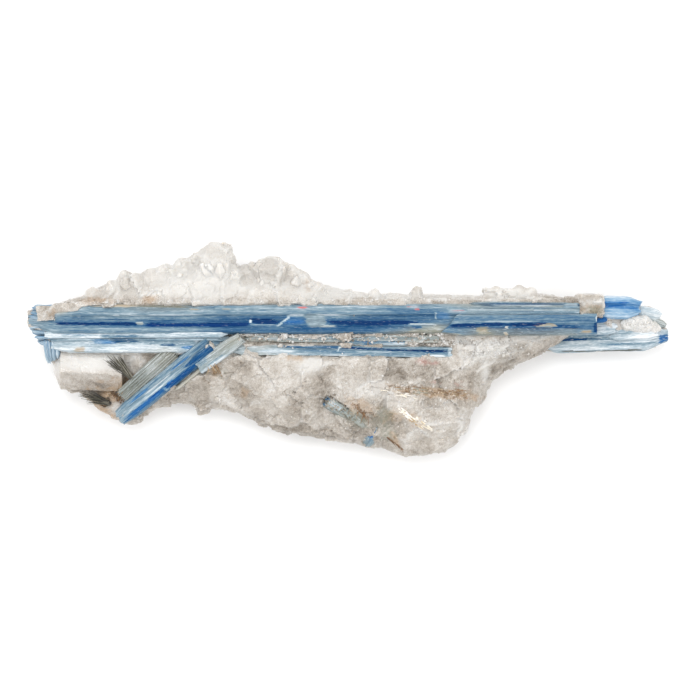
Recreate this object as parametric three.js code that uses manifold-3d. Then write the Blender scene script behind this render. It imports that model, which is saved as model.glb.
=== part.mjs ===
// Kyanite in quartz: long blue kyanite blades lying in a broken mass of milky quartz.
// Millimetres, +Z up. The specimen lies on a flat broken face. X runs along the longest blade,
// and the origin is on the resting face, under the middle of the whole specimen.
import * as THREE from 'three';
import Module from 'manifold-3d';
import { mergeVertices } from 'three/addons/utils/BufferGeometryUtils.js';

// Driving dimensions
const CELL = 3.3; // grid step of the quartz mass
const RIM_RADIUS = 9; // how far in from its outline the quartz mass rounds over
const RIM_HEIGHT = 9; // height of its widest contour
const SINK = 1.6; // how far the rounded underside is planed off at the resting face
const GAP = 0.3; // clearance between neighbouring pieces
const SHORTEST = 0.1; // finest detail that a cut may leave
const LUMP = 0.7; // swell of the broken surface
const STATION = 7; // distance between two sections of a blade
const POINT_SIDES = 6; // a quartz crystal is a six-sided prism
const FILL = 0.1; // depth given to a grid point that is filled with quartz
const STEPS = [[1, 0, 0], [0, 1, 0], [0, 0, 1]];

// The quartz mass seen from above, without the crystals that stand out of it
const quartzOutline = [
  [-95.5, 11.5], [-91.5, 14.4], [-84, 16.4], [-77.5, 19], [-72, 21.5], [-66, 23.2], [-58, 25.6],
  [-52, 27.2], [-46, 28.4], [-38.5, 28.4], [-33, 25], [-27, 25.6], [-20, 24.2], [-12, 21.6],
  [-3, 18], [7, 17.8], [17, 17.6], [25, 16.6], [40, 16.6], [47, 18], [54, 18.3], [60, 17],
  [70, 16.4], [78.6, 16.6], [79.6, 13], [76.5, 8.5], [70, 4.5], [65, 1.2], [59, -1.4], [52.2, -4],
  [47.2, -7.2], [43, -11.6], [40.4, -17.2], [38.8, -21.2], [36.6, -27], [32, -30.8], [25.4, -32.7],
  [18, -33.1], [9, -30.6], [-4, -28.2], [-17, -26.7], [-25, -24.6], [-32, -20.6], [-37, -18.6],
  [-46, -17.6], [-55, -17], [-61.5, -19], [-66.5, -22], [-71.3, -23.2], [-76, -21.2], [-82, -15.8],
  [-88.4, -10], [-90.4, -4], [-92.6, 1.6], [-94.6, 6.4],
];

// Heights surveyed on the broken top of the quartz, as x, y, z
const surveyedHeights = [
  [-93, 13, 25.2], [-88, 13.5, 25.4], [-80, 16.5, 21.5], [-72, 18, 22], [-60, 19, 23], [-50, 22, 24],
  [-41, 24, 25], [-33, 20, 22], [-25, 21, 24], [-15, 18, 23], [-5, 16, 22.5], [10, 16, 22],
  [25, 15.5, 22], [40, 15.5, 21.5], [52, 16.5, 22], [65, 16, 21], [77, 15, 20.5], [72, 6, 16],
  [62, 3, 20], [54, 0, 21], [48, 2, 22], [42, 0, 22], [36, -2, 21.5], [46, -8, 17], [38, -12, 19.5],
  [25, -5, 21.5], [30, -18, 18], [20, -14, 18.4], [16, -24, 17.5], [28, -27, 14], [5, -6, 21.5],
  [2, -16, 19], [-6, -24, 14], [-15, -7, 21.5], [-18, -16, 19.5], [-25, -22, 14], [-32, -4, 21],
  [-36, -13, 17], [-48, -6, 18.5], [-52, -14, 15], [-60, -17, 13.5], [-64, -3, 16.5], [-70, -7, 15],
  [-74, -17, 14], [-82, -4, 17.5], [-84, -12, 13],
];

// Quartz crystals that stand out of the mass: tip, foot, radius, and the length of the pointed end
const quartzCrystals = [
  { tip: [-70.4, 24.6, 17], foot: [-68, 15, 12], radius: 3.4, point: 3.4 },
  { tip: [-74.6, 21.6, 16], foot: [-72, 14, 13], radius: 2.6, point: 2.2 },
  { tip: [-62, 25.3, 18], foot: [-60, 16, 13], radius: 3.2, point: 2 },
  { tip: [-57.6, 26.8, 20], foot: [-56, 18, 13], radius: 2.8, point: 1.8 },
  { tip: [-52.6, 29, 19], foot: [-50.6, 20, 13], radius: 2.6, point: 1.6 },
  { tip: [-48.6, 30.1, 17], foot: [-47, 20, 13], radius: 2.4, point: 1.4 },
  { tip: [-42.4, 32.6, 21], foot: [-40, 17, 14], radius: 6.6, point: 3 },
  { tip: [-38.2, 33.2, 18], foot: [-39, 25, 14], radius: 2, point: 1.4 },
  { tip: [-32, 26.6, 18], foot: [-32.4, 17, 13], radius: 2.8, point: 1.6 },
  { tip: [-25, 28.7, 20], foot: [-24.4, 15, 14], radius: 5.6, point: 2.2 },
  { tip: [-18.2, 26.4, 18], foot: [-19, 16, 13], radius: 3, point: 2 },
  { tip: [-14.6, 24.2, 17], foot: [-15.6, 14, 13], radius: 3, point: 1.6 },
  { tip: [-9.6, 21.6, 17], foot: [-11, 14, 13], radius: 2.6, point: 1.6 },
  { tip: [8, 18.9, 19], foot: [7.4, 12, 15], radius: 2.4, point: 1.6 },
  { tip: [20.6, 19.8, 20], foot: [19.6, 12, 15], radius: 2.4, point: 2.6 },
  { tip: [45, 19.6, 18], foot: [46, 12, 14], radius: 2.2, point: 1.6 },
  { tip: [52.4, 20, 17], foot: [52, 12, 13], radius: 3.4, point: 2.2 },
  { tip: [-46.6, -19.9, 8], foot: [-46.4, -10, 12], radius: 3.2, point: 2.2 },
  { tip: [-41.6, -18.4, 7], foot: [-41, -10, 11], radius: 2.8, point: 1.6 },
  { tip: [-90.8, -6.2, 11.4], foot: [-71, -6.4, 11.6], radius: 7.6, point: 3.4, spin: 30 },
];

// Half sections of a blade across its width and depth, from -1 to 1
const plankSection = [
  [-1, -0.62], [-0.82, -1], [0.82, -1], [1, -0.6], [1, 0.5], [0.84, 0.8], [0.3, 1], [0.12, 0.8],
  [-0.35, 0.86], [-0.88, 0.74], [-1, 0.42],
];
const splinterSection = [[-1, -0.4], [-0.5, -1], [0.6, -1], [1, -0.3], [0.8, 0.6], [0.1, 1], [-0.7, 0.7]];

// Blades and small pieces: the middle of each end, width, depth, and the share of the section left
// at each end. Each one gives way to those listed before it.
const pieces = {
  main_blade: {
    from: [-100, 9.5, 18.6], to: [76, 9.7, 19.6], width: 9.6, depth: 9, startShare: 0.62, endShare: 0.96,
    section: plankSection, colour: 0x3f6ca3,
  },
  diagonal_blade: {
    from: [-71.9, -21.3, 11.2], to: [-42.2, 2.2, 19.4], width: 6.4, depth: 7.6, startShare: 0.8, endShare: 0.9,
    section: plankSection, colour: 0x5f8cc0,
  },
  green_blade: {
    from: [-44.6, -4.1, 18.6], to: [-33.6, 3.7, 20.4], width: 4.4, depth: 6, startShare: 0.9, endShare: 0.8,
    section: plankSection, colour: 0xa9bdb6,
  },
  left_stub_blade: {
    from: [-90.4, -4.6, 13.6], to: [-92.6, -1.7, 16], width: 3.4, depth: 5, startShare: 0.8, endShare: 0.9,
    section: splinterSection, colour: 0x6484a2,
  },
  lower_blade: {
    from: [-93.2, 1.9, 16.4], to: [31.4, 0.9, 17.6], width: 6.3, depth: 8.4, startShare: 0.7, endShare: 0.94,
    section: plankSection, colour: 0x8fa9c6,
  },
  silver_blade: {
    from: [-71.8, -15.7, 12.4], to: [-57.2, -3.6, 15.6], width: 2.6, depth: 5, startShare: 0.6, endShare: 0.7,
    section: splinterSection, colour: 0xb3b5b1,
  },
  back_blade: {
    from: [38, 15.6, 17.4], to: [70.4, 15.6, 18.4], width: 2.2, depth: 6.6, startShare: 0.5, endShare: 0.9,
    section: splinterSection, colour: 0x5a7591,
  },
  tail_blue_blade: {
    from: [74, 13, 15], to: [90, 12.9, 12.8], width: 7.6, depth: 8, startShare: 0.8, endShare: 0.5,
    section: plankSection, colour: 0x3a68bf,
  },
  tail_blade: {
    from: [57, 3.4, 9.4], to: [99.4, 4.6, 8.8], width: 9.4, depth: 8.8, startShare: 0.55, endShare: 0.52,
    section: plankSection, colour: 0xb4c6da,
  },
  tail_tip_blade: {
    from: [90.9, 12.2, 10.2], to: [96.8, 10.9, 9.6], width: 4.2, depth: 5.6, startShare: 0.7, endShare: 0.8,
    section: splinterSection, colour: 0xa4bdd8,
  },
  lobe_blade: {
    from: [-8, -15.6, 16.2], to: [0.2, -20.4, 14.8], width: 3.6, depth: 5, startShare: 0.9, endShare: 0.7,
    section: plankSection, colour: 0x8aa0a3,
  },
  lobe_stub_blade: {
    from: [8.4, -23.4, 14.4], to: [4.8, -29.4, 9.6], width: 4.2, depth: 4.4, startShare: 0.8, endShare: 0.7,
    section: splinterSection, colour: 0x7d97ad,
  },
  buried_blade: {
    from: [13.6, -11.4, 17.6], to: [40.4, -14.9, 15.8], width: 2.2, depth: 4.6, startShare: 0.5, endShare: 0.4,
    section: splinterSection, colour: 0xa08b73,
  },
  upper_mica_sheaf: {
    from: [-76, -1.6, 17.2], to: [-68.6, -9.4, 14.6], width: 2.6, depth: 3.6, startShare: 0.9, endShare: 0.5,
    section: splinterSection, colour: 0x5f5f56,
  },
  lower_mica_sheaf: {
    from: [-85, -12.6, 10.8], to: [-76, -16.4, 12.2], width: 2.4, depth: 3.6, startShare: 0.5, endShare: 0.9,
    section: splinterSection, colour: 0x6b6a60,
  },
  tail_quartz: {
    from: [84.6, 8.2, 14.6], to: [97.6, 7.4, 13.2], width: 6.2, depth: 2.6, startShare: 0.5, endShare: 0.6,
    section: splinterSection, colour: 0xd6d4cf,
  },
};

const wasm = await Module();
wasm.setup();

const smooth = (edge0, edge1, value) => THREE.MathUtils.smoothstep(value, edge0, edge1);

// Distance to a closed outline, positive inside
function insetOf(outline, x, y) {
  let nearest = Infinity;
  let inside = false;
  outline.forEach(([ax, ay], i) => {
    const [bx, by] = outline[(i + 1) % outline.length];
    const share = ((x - ax) * (bx - ax) + (y - ay) * (by - ay)) / ((bx - ax) ** 2 + (by - ay) ** 2);
    const t = THREE.MathUtils.clamp(share, 0, 1);
    nearest = Math.min(nearest, Math.hypot(x - ax - t * (bx - ax), y - ay - t * (by - ay)));
    if (ay > y !== by > y && x < ((bx - ax) * (y - ay)) / (by - ay) + ax) inside = !inside;
  });
  return inside ? nearest : -nearest;
}

// Height of the quartz top, blended from the surveyed points by inverse distance
function topHeight(x, y) {
  let sum = 0;
  let weights = 0;
  for (const [sx, sy, height] of surveyedHeights) {
    const weight = 1 / ((x - sx) ** 2 + (y - sy) ** 2 + 4) ** 1.6;
    sum += weight * height;
    weights += weight;
  }
  return sum / weights;
}

// The two ends of the mass taper up, clear of the surface that it rests on
const endLift = (x) => 4.5 * smooth(44, 60, x) + 3.5 * smooth(80, 92, -x);

const swell = (x, y, z) =>
  LUMP * (Math.sin(0.43 * x + 0.9 * z) * Math.sin(0.51 * y - 1.1) + 0.6 * Math.sin(0.83 * x - 0.7 * y + 0.6 * z));

// Positive inside the quartz mass
function quartzField(x, y, z) {
  const inset = insetOf(quartzOutline, x, y) + 0.5 * swell(y, x, z);
  if (inset <= 0) return inset;
  const t = Math.min(inset / RIM_RADIUS, 1);
  const rounding = Math.sqrt(1 - (1 - t) ** 2);
  const lift = endLift(x);
  const rim = RIM_HEIGHT + 0.6 * lift;
  const top = rim + (topHeight(x, y) - rim) * rounding + swell(x, y, z);
  const bottom = rim - (rim + SINK - lift) * rounding;
  return Math.min(top - z, z - bottom);
}

// Closed surface where a field crosses zero: one vertex for each grid cell that it passes through
function surfaceOf(field, low, high, cell) {
  const count = low.map((value, i) => Math.ceil((high[i] - value) / cell) + 1);
  const index = (i, j, k) => i + count[0] * (j + count[1] * k);
  const at = (i, j, k) => [low[0] + i * cell, low[1] + j * cell, low[2] + k * cell];
  const values = new Float64Array(count[0] * count[1] * count[2]);
  forEachCell(count, (i, j, k) => { values[index(i, j, k)] = field(...at(i, j, k)); });
  fillPinches(values, count, index);

  const corners = [0, 1, 2, 3, 4, 5, 6, 7].map((c) => [c & 1, (c >> 1) & 1, c >> 2]);
  const edges = [[0, 1], [2, 3], [4, 5], [6, 7], [0, 2], [1, 3], [4, 6], [5, 7], [0, 4], [1, 5], [2, 6], [3, 7]];
  const positions = [];
  const vertexOf = new Map();
  forEachCell(count.map((n) => n - 1), (i, j, k) => {
    const inCell = corners.map(([a, b, c]) => values[index(i + a, j + b, k + c)]);
    const crossings = edges.filter(([a, b]) => inCell[a] > 0 !== inCell[b] > 0);
    if (crossings.length === 0) return;
    const middle = new THREE.Vector3();
    for (const [a, b] of crossings) {
      const t = inCell[a] / (inCell[a] - inCell[b]);
      middle.add(new THREE.Vector3(...corners[a]).lerp(new THREE.Vector3(...corners[b]), t));
    }
    middle.divideScalar(crossings.length).multiplyScalar(cell).add(new THREE.Vector3(...at(i, j, k)));
    vertexOf.set(index(i, j, k), positions.length / 3);
    positions.push(middle.x, middle.y, middle.z);
  });

  const triangles = [];
  forEachCell(count.map((n) => n - 1), (i, j, k) => {
    STEPS.forEach((step, axis) => {
      const here = values[index(i, j, k)] > 0;
      const next = values[index(i + step[0], j + step[1], k + step[2])] > 0;
      if (here === next) return;
      const ring = faceOf(axis, -1, i, j, k).map((corner) => vertexOf.get(index(...corner)));
      if (!here) ring.reverse();
      triangles.push(ring[0], ring[1], ring[2], ring[0], ring[2], ring[3]);
    });
  });
  return geometryFrom(positions, triangles);
}

// Where the corners of a grid face alternate the surface would pinch to a line, so one of them is filled
function fillPinches(values, count, index) {
  let pinched = true;
  while (pinched) {
    pinched = false;
    forEachCell(count.map((n) => n - 1), (i, j, k) => {
      STEPS.forEach((step, axis) => {
        const face = faceOf(axis, 1, i, j, k).map((corner) => index(...corner));
        const inside = face.map((corner) => values[corner] > 0);
        if (inside[0] !== inside[2] || inside[1] !== inside[3] || inside[0] === inside[1]) return;
        const [one, other] = inside[0] ? [face[1], face[3]] : [face[0], face[2]];
        values[values[one] > values[other] ? one : other] = FILL;
        pinched = true;
      });
    });
  }
}

// The four corners of the grid face that stands square to an axis
function faceOf(axis, side, i, j, k) {
  const [u, v] = [STEPS[(axis + 1) % 3], STEPS[(axis + 2) % 3]];
  return [[0, 0], [1, 0], [1, 1], [0, 1]].map(([a, b]) =>
    [i, j, k].map((value, n) => value + side * (a * u[n] + b * v[n])));
}

function forEachCell(count, visit) {
  for (let k = 0; k < count[2]; k += 1)
    for (let j = 0; j < count[1]; j += 1)
      for (let i = 0; i < count[0]; i += 1) visit(i, j, k);
}

function geometryFrom(positions, triangles) {
  const geometry = new THREE.BufferGeometry();
  geometry.setAttribute('position', new THREE.Float32BufferAttribute(positions, 3));
  geometry.setIndex(triangles);
  return geometry;
}

// Closed skin over a row of rings with the same number of corners, with a fan over each end
function loftOf(rings) {
  const sides = rings[0].length;
  const positions = rings.flat().flatMap((corner) => corner.toArray());
  const triangles = [];
  for (let r = 0; r + 1 < rings.length; r += 1)
    for (let s = 0; s < sides; s += 1) {
      const [a, b] = [r * sides + s, r * sides + ((s + 1) % sides)];
      triangles.push(a, b, a + sides, b, b + sides, a + sides);
    }
  for (const r of [0, rings.length - 1]) {
    const middle = rings[r].reduce((sum, corner) => sum.add(corner), new THREE.Vector3());
    positions.push(...middle.divideScalar(sides).toArray());
    const centre = positions.length / 3 - 1;
    for (let s = 0; s < sides; s += 1) {
      const [a, b] = [r * sides + s, r * sides + ((s + 1) % sides)];
      triangles.push(...(r === 0 ? [centre, b, a] : [centre, a, b]));
    }
  }
  return geometryFrom(positions, triangles);
}

// One blade as a lofted bar, grown on all sides when it is to cut room for itself
function bladeGeometry({ from, to, width, depth, startShare, endShare, section }, grow = 0) {
  const start = new THREE.Vector3(...from);
  const end = new THREE.Vector3(...to);
  const along = end.clone().sub(start).normalize();
  const across = new THREE.Vector3(-along.y, along.x, 0).normalize();
  const upward = new THREE.Vector3().crossVectors(along, across);
  start.addScaledVector(along, -grow);
  end.addScaledVector(along, grow);
  const length = start.distanceTo(end);
  const stations = Math.max(4, Math.round(length / STATION) + 1);
  const rings = [];
  for (let s = 0; s < stations; s += 1) {
    const t = s / (stations - 1);
    const nearStart = smooth(0, Math.min(0.3, width / length), t);
    const nearEnd = smooth(0, Math.min(0.3, width / length), 1 - t);
    const share = (startShare + (1 - startShare) * nearStart) * (endShare + (1 - endShare) * nearEnd);
    const wander = 0.03 * Math.sin(5.1 * s + width) * nearStart * nearEnd;
    const middle = start.clone().lerp(end, t);
    rings.push(section.map(([u, v]) =>
      middle.clone()
        .addScaledVector(across, u * ((width / 2) * (share + wander) + grow))
        .addScaledVector(upward, v * ((depth / 2) * (share - wander) + grow))));
  }
  return loftOf(rings);
}

// A six-sided quartz prism that ends in a blunt point
function crystalGeometry({ tip, foot, radius, point, spin = 0 }) {
  const top = new THREE.Vector3(...tip);
  const base = new THREE.Vector3(...foot);
  const along = top.clone().sub(base).normalize();
  const turn = new THREE.Quaternion().setFromUnitVectors(new THREE.Vector3(0, 0, 1), along);
  const ring = (middle, size) => Array.from({ length: POINT_SIDES }, (unused, side) => {
    const angle = THREE.MathUtils.degToRad(spin + (side * 360) / POINT_SIDES);
    const corner = new THREE.Vector3(Math.cos(angle) * size, Math.sin(angle) * size, 0);
    return corner.applyQuaternion(turn).add(middle);
  });
  const shoulder = top.clone().addScaledVector(along, -point);
  return loftOf([ring(base, radius * 0.9), ring(shoulder, radius), ring(top, radius * 0.3)]);
}

function solidOf(geometry) {
  const merged = mergeVertices(geometry, 1e-4);
  return new wasm.Manifold(new wasm.Mesh({
    numProp: 3,
    vertProperties: merged.attributes.position.array,
    triVerts: new Uint32Array(merged.index.array),
  }));
}

function geometryOf(solid) {
  const mesh = solid.getMesh();
  return geometryFrom(mesh.vertProperties, Array.from(mesh.triVerts));
}

// What a cut leaves, without loose slivers and without edges too short to see
function largestPiece(solid) {
  const tidied = solid.simplify(SHORTEST);
  return tidied.decompose().reduce((best, piece) => (piece.volume() > best.volume() ? piece : best));
}

const cut = (solid, spec) => solid.subtract(solidOf(bladeGeometry(spec, GAP)));

function quartzSolid() {
  const mass = solidOf(surfaceOf(quartzField, [-100, -38, -4], [86, 36, 30], CELL));
  const grown = quartzCrystals.map(crystalGeometry).map(solidOf).reduce((sum, crystal) => sum.add(crystal), mass);
  const below = new THREE.BoxGeometry(260, 120, 20).translate(0, 0, -10);
  below.deleteAttribute('normal');
  below.deleteAttribute('uv');
  const planed = grown.subtract(solidOf(below));
  return largestPiece(Object.values(pieces).reduce(cut, planed));
}

function material(colour, roughness) {
  return new THREE.MeshStandardMaterial({ color: colour, roughness, metalness: 0 });
}

const specimen = new THREE.Group();

function place(name, solid, finish) {
  const mesh = new THREE.Mesh(geometryOf(solid), finish);
  mesh.name = name;
  specimen.add(mesh);
}

place('quartz_matrix', quartzSolid(), material(0xdcd8d2, 0.35));

Object.entries(pieces).forEach(([name, spec], order) => {
  const earlier = Object.values(pieces).slice(0, order);
  const fitted = largestPiece(earlier.reduce(cut, solidOf(bladeGeometry(spec))));
  place(name, fitted, material(spec.colour, 0.4));
});

export default specimen;
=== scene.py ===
"""Kyanite in quartz: long blue blades lying in a broken mass of milky quartz.

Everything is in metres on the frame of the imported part. X runs along the longest blade, Y goes
across towards the ridge of quartz crystals, and Z is up from the face that the specimen rests on.
Sizes and places of the pieces are given in millimetres and turned into metres when a mesh is made.
"""
import itertools
import logging
import math
from dataclasses import dataclass
from enum import Enum
from typing import Any

import bmesh
import bpy
import numpy as np
from mathutils import Matrix, Vector
from mathutils.bvhtree import BVHTree


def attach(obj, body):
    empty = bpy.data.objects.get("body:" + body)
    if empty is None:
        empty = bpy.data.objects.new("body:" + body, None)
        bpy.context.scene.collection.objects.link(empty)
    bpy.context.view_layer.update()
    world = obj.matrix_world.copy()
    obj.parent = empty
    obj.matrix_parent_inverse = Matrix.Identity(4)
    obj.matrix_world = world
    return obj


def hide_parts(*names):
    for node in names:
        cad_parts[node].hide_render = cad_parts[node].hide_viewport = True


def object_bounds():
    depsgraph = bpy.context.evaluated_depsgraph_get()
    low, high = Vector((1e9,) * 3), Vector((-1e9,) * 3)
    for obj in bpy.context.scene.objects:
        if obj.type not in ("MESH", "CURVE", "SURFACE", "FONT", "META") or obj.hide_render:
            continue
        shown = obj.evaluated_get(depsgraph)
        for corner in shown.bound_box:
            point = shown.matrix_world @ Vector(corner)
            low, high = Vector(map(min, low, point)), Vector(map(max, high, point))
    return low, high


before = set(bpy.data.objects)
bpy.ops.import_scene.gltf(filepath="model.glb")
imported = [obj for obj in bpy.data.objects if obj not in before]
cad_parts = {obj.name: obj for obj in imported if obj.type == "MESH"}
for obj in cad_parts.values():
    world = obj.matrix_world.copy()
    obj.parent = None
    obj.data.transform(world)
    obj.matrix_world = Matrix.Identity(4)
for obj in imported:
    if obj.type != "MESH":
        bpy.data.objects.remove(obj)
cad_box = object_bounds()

MM = 0.001
BODY = "root"
log = logging.getLogger("kyanite")


def linear(red: int, green: int, blue: int) -> tuple[float, float, float, float]:
    """A display colour, 0 to 255, as the linear colour that a shader takes."""
    shares = [value / 255 for value in (red, green, blue)]
    return tuple(s / 12.92 if s <= 0.04045 else ((s + 0.055) / 1.055) ** 2.4 for s in shares) + (1.0,)


def soft_step(low: float, high: float, value: np.ndarray) -> np.ndarray:
    """Goes smoothly from 0 at low to 1 at high."""
    share = np.clip((value - low) / (high - low), 0, 1)
    return share * share * (3 - 2 * share)


class ValueNoise:
    """Smooth random numbers from -1 to 1 over space, the same on every run."""

    SIZE = 32

    def __init__(self, seed: int) -> None:
        """Draws the lattice of random numbers."""
        self.lattice = np.random.default_rng(seed).uniform(-1, 1, (self.SIZE,) * 3)

    def at(self, *axes: np.ndarray) -> np.ndarray:
        """The noise at points whose coordinates are given axis by axis.

        Args:
            axes: one to three arrays of the same shape, in lattice steps.

        Returns:
            One number for each point.
        """
        shape = np.broadcast(*axes).shape
        points = [np.broadcast_to(axis, shape).astype(float) for axis in axes]
        points += [np.zeros(shape)] * (3 - len(points))
        base = [np.floor(axis).astype(int) for axis in points]
        part = [axis - low for axis, low in zip(points, base)]
        part = [share * share * (3 - 2 * share) for share in part]
        total = np.zeros(shape)
        for corner in itertools.product((0, 1), repeat=3):
            weight = np.ones(shape)
            for step, share in zip(corner, part):
                weight = weight * (share if step else 1 - share)
            index = tuple((low + step) % self.SIZE for low, step in zip(base, corner))
            total += weight * self.lattice[index]
        return total

    def step(self, *axes: np.ndarray) -> np.ndarray:
        """One random number for each whole cell, with no blending between cells."""
        return self.at(*(np.floor(axis) for axis in axes))


class Graph:
    """Adds nodes to a node tree and joins them."""

    def __init__(self, tree: bpy.types.NodeTree) -> None:
        """Keeps the tree that the nodes go into."""
        self.tree = tree

    def feed(self, node: bpy.types.Node, inputs: dict[Any, Any]) -> None:
        """Sets some of a node's inputs.

        Args:
            node: a node of this tree.
            inputs: input name or number to a value, or to the output socket that feeds it.
        """
        for key, value in inputs.items():
            if isinstance(value, bpy.types.NodeSocket):
                self.tree.links.new(value, node.inputs[key])
            else:
                node.inputs[key].default_value = value

    def add(self, kind: str, inputs: dict[Any, Any] | None = None, **settings: Any) -> bpy.types.Node:
        """Adds one node.

        Args:
            kind: the node's type name.
            inputs: what goes into it, as feed takes it.
            settings: the node's own properties.

        Returns:
            The new node.
        """
        node = self.tree.nodes.new(kind)
        for name, value in settings.items():
            setattr(node, name, value)
        self.feed(node, inputs or {})
        return node

    def shared(self, effect: "SharedEffect", inputs: dict[str, Any]) -> bpy.types.Node:
        """Places a shared effect in a material."""
        return self.add("ShaderNodeGroup", inputs, node_tree=effect.group())

    def math(self, operation: str, *values: Any, clamp: bool = False) -> bpy.types.NodeSocket:
        """The result of one arithmetic step."""
        node = self.add("ShaderNodeMath", dict(enumerate(values)), operation=operation, use_clamp=clamp)
        return node.outputs[0]

    def total(self, start: Any, *parts: tuple[Any, Any]) -> bpy.types.NodeSocket:
        """A number with weighted numbers added to it.

        Args:
            start: the number that the sum starts from.
            parts: each number to add, with its weight.

        Returns:
            The sum's socket.
        """
        for value, weight in parts:
            start = self.math("MULTIPLY_ADD", value, weight, start)
        return start

    def centred(self, value: bpy.types.NodeSocket) -> bpy.types.NodeSocket:
        """A value that runs from 0 to 1, brought to run from -0.5 to 0.5."""
        return self.math("SUBTRACT", value, 0.5)

    def vector(self, operation: str, *values: Any) -> bpy.types.NodeSocket:
        """The result of one step on vectors."""
        node = self.add("ShaderNodeVectorMath", dict(enumerate(values)), operation=operation)
        return node.outputs["Value" if operation == "DOT_PRODUCT" else "Vector"]

    def scaled(self, vector: bpy.types.NodeSocket, factor: Any) -> bpy.types.NodeSocket:
        """A vector times one number."""
        return self.add("ShaderNodeVectorMath", {0: vector, "Scale": factor}, operation="SCALE").outputs[0]

    def joined(self, x: Any, y: Any, z: Any) -> bpy.types.NodeSocket:
        """A vector from its three parts."""
        return self.add("ShaderNodeCombineXYZ", {"X": x, "Y": y, "Z": z}).outputs[0]

    def facing(self, heading: bpy.types.NodeSocket) -> bpy.types.NodeSocket:
        """The turn that brings Z to a heading."""
        return self.add("FunctionNodeAlignRotationToVector", {"Vector": heading}, axis="Z").outputs[0]

    def random_vector(self, low: tuple, high: tuple, seed: Any) -> bpy.types.NodeSocket:
        """A vector between two vectors, its own for each thing."""
        inputs = {0: low, 1: high, "Seed": seed}
        return self.add("FunctionNodeRandomValue", inputs, data_type="FLOAT_VECTOR").outputs[0]

    def random_number(self, low: float, high: float, seed: int) -> bpy.types.NodeSocket:
        """A number between two numbers, its own for each thing."""
        inputs = {2: low, 3: high, "Seed": seed}
        return self.add("FunctionNodeRandomValue", inputs, data_type="FLOAT").outputs[1]

    def ramp(self, share: bpy.types.NodeSocket,
             stops: tuple[tuple[float, tuple], ...]) -> bpy.types.NodeSocket:
        """The colour at a share along a row of stops.

        Args:
            share: what picks the colour, from 0 to 1.
            stops: place and colour of each stop, in order.

        Returns:
            The colour's socket.
        """
        node = self.add("ShaderNodeValToRGB", {0: share})
        elements = node.color_ramp.elements
        while len(elements) < len(stops):
            elements.new(0.5)
        for element, (place, colour) in zip(elements, stops):
            element.position = place
            element.color = colour
        return node.outputs[0]

    def range(self, value: bpy.types.NodeSocket, low: float, high: float,
              start: float = 0.0, end: float = 1.0) -> bpy.types.NodeSocket:
        """A value brought from one range to another, and held inside it."""
        numbered = {0: value, 1: low, 2: high, 3: start, 4: end}
        return self.add("ShaderNodeMapRange", numbered, clamp=True).outputs[0]

    def mix(self, share: Any, first: Any, second: Any) -> bpy.types.NodeSocket:
        """A colour between two colours. Its sockets come after those for numbers and vectors."""
        return self.add("ShaderNodeMix", {0: share, 6: first, 7: second}, data_type="RGBA").outputs[2]

    def blend(self, share: Any, first: Any, second: Any) -> bpy.types.NodeSocket:
        """A number between two numbers."""
        return self.add("ShaderNodeMix", {0: share, 2: first, 3: second}, data_type="FLOAT").outputs[0]

    def noise(self, vector: bpy.types.NodeSocket, scale: float, detail: float = 4.0,
              distortion: float = 0.0) -> bpy.types.NodeSocket:
        """Cloudy noise from 0 to 1."""
        inputs = {"Vector": vector, "Scale": scale, "Detail": detail, "Distortion": distortion}
        return self.add("ShaderNodeTexNoise", inputs).outputs[0]

    def attribute(self, name: str) -> bpy.types.NodeSocket:
        """A number stored on the mesh's points, for a material."""
        return self.add("ShaderNodeAttribute", attribute_name=name).outputs["Fac"]


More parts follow.
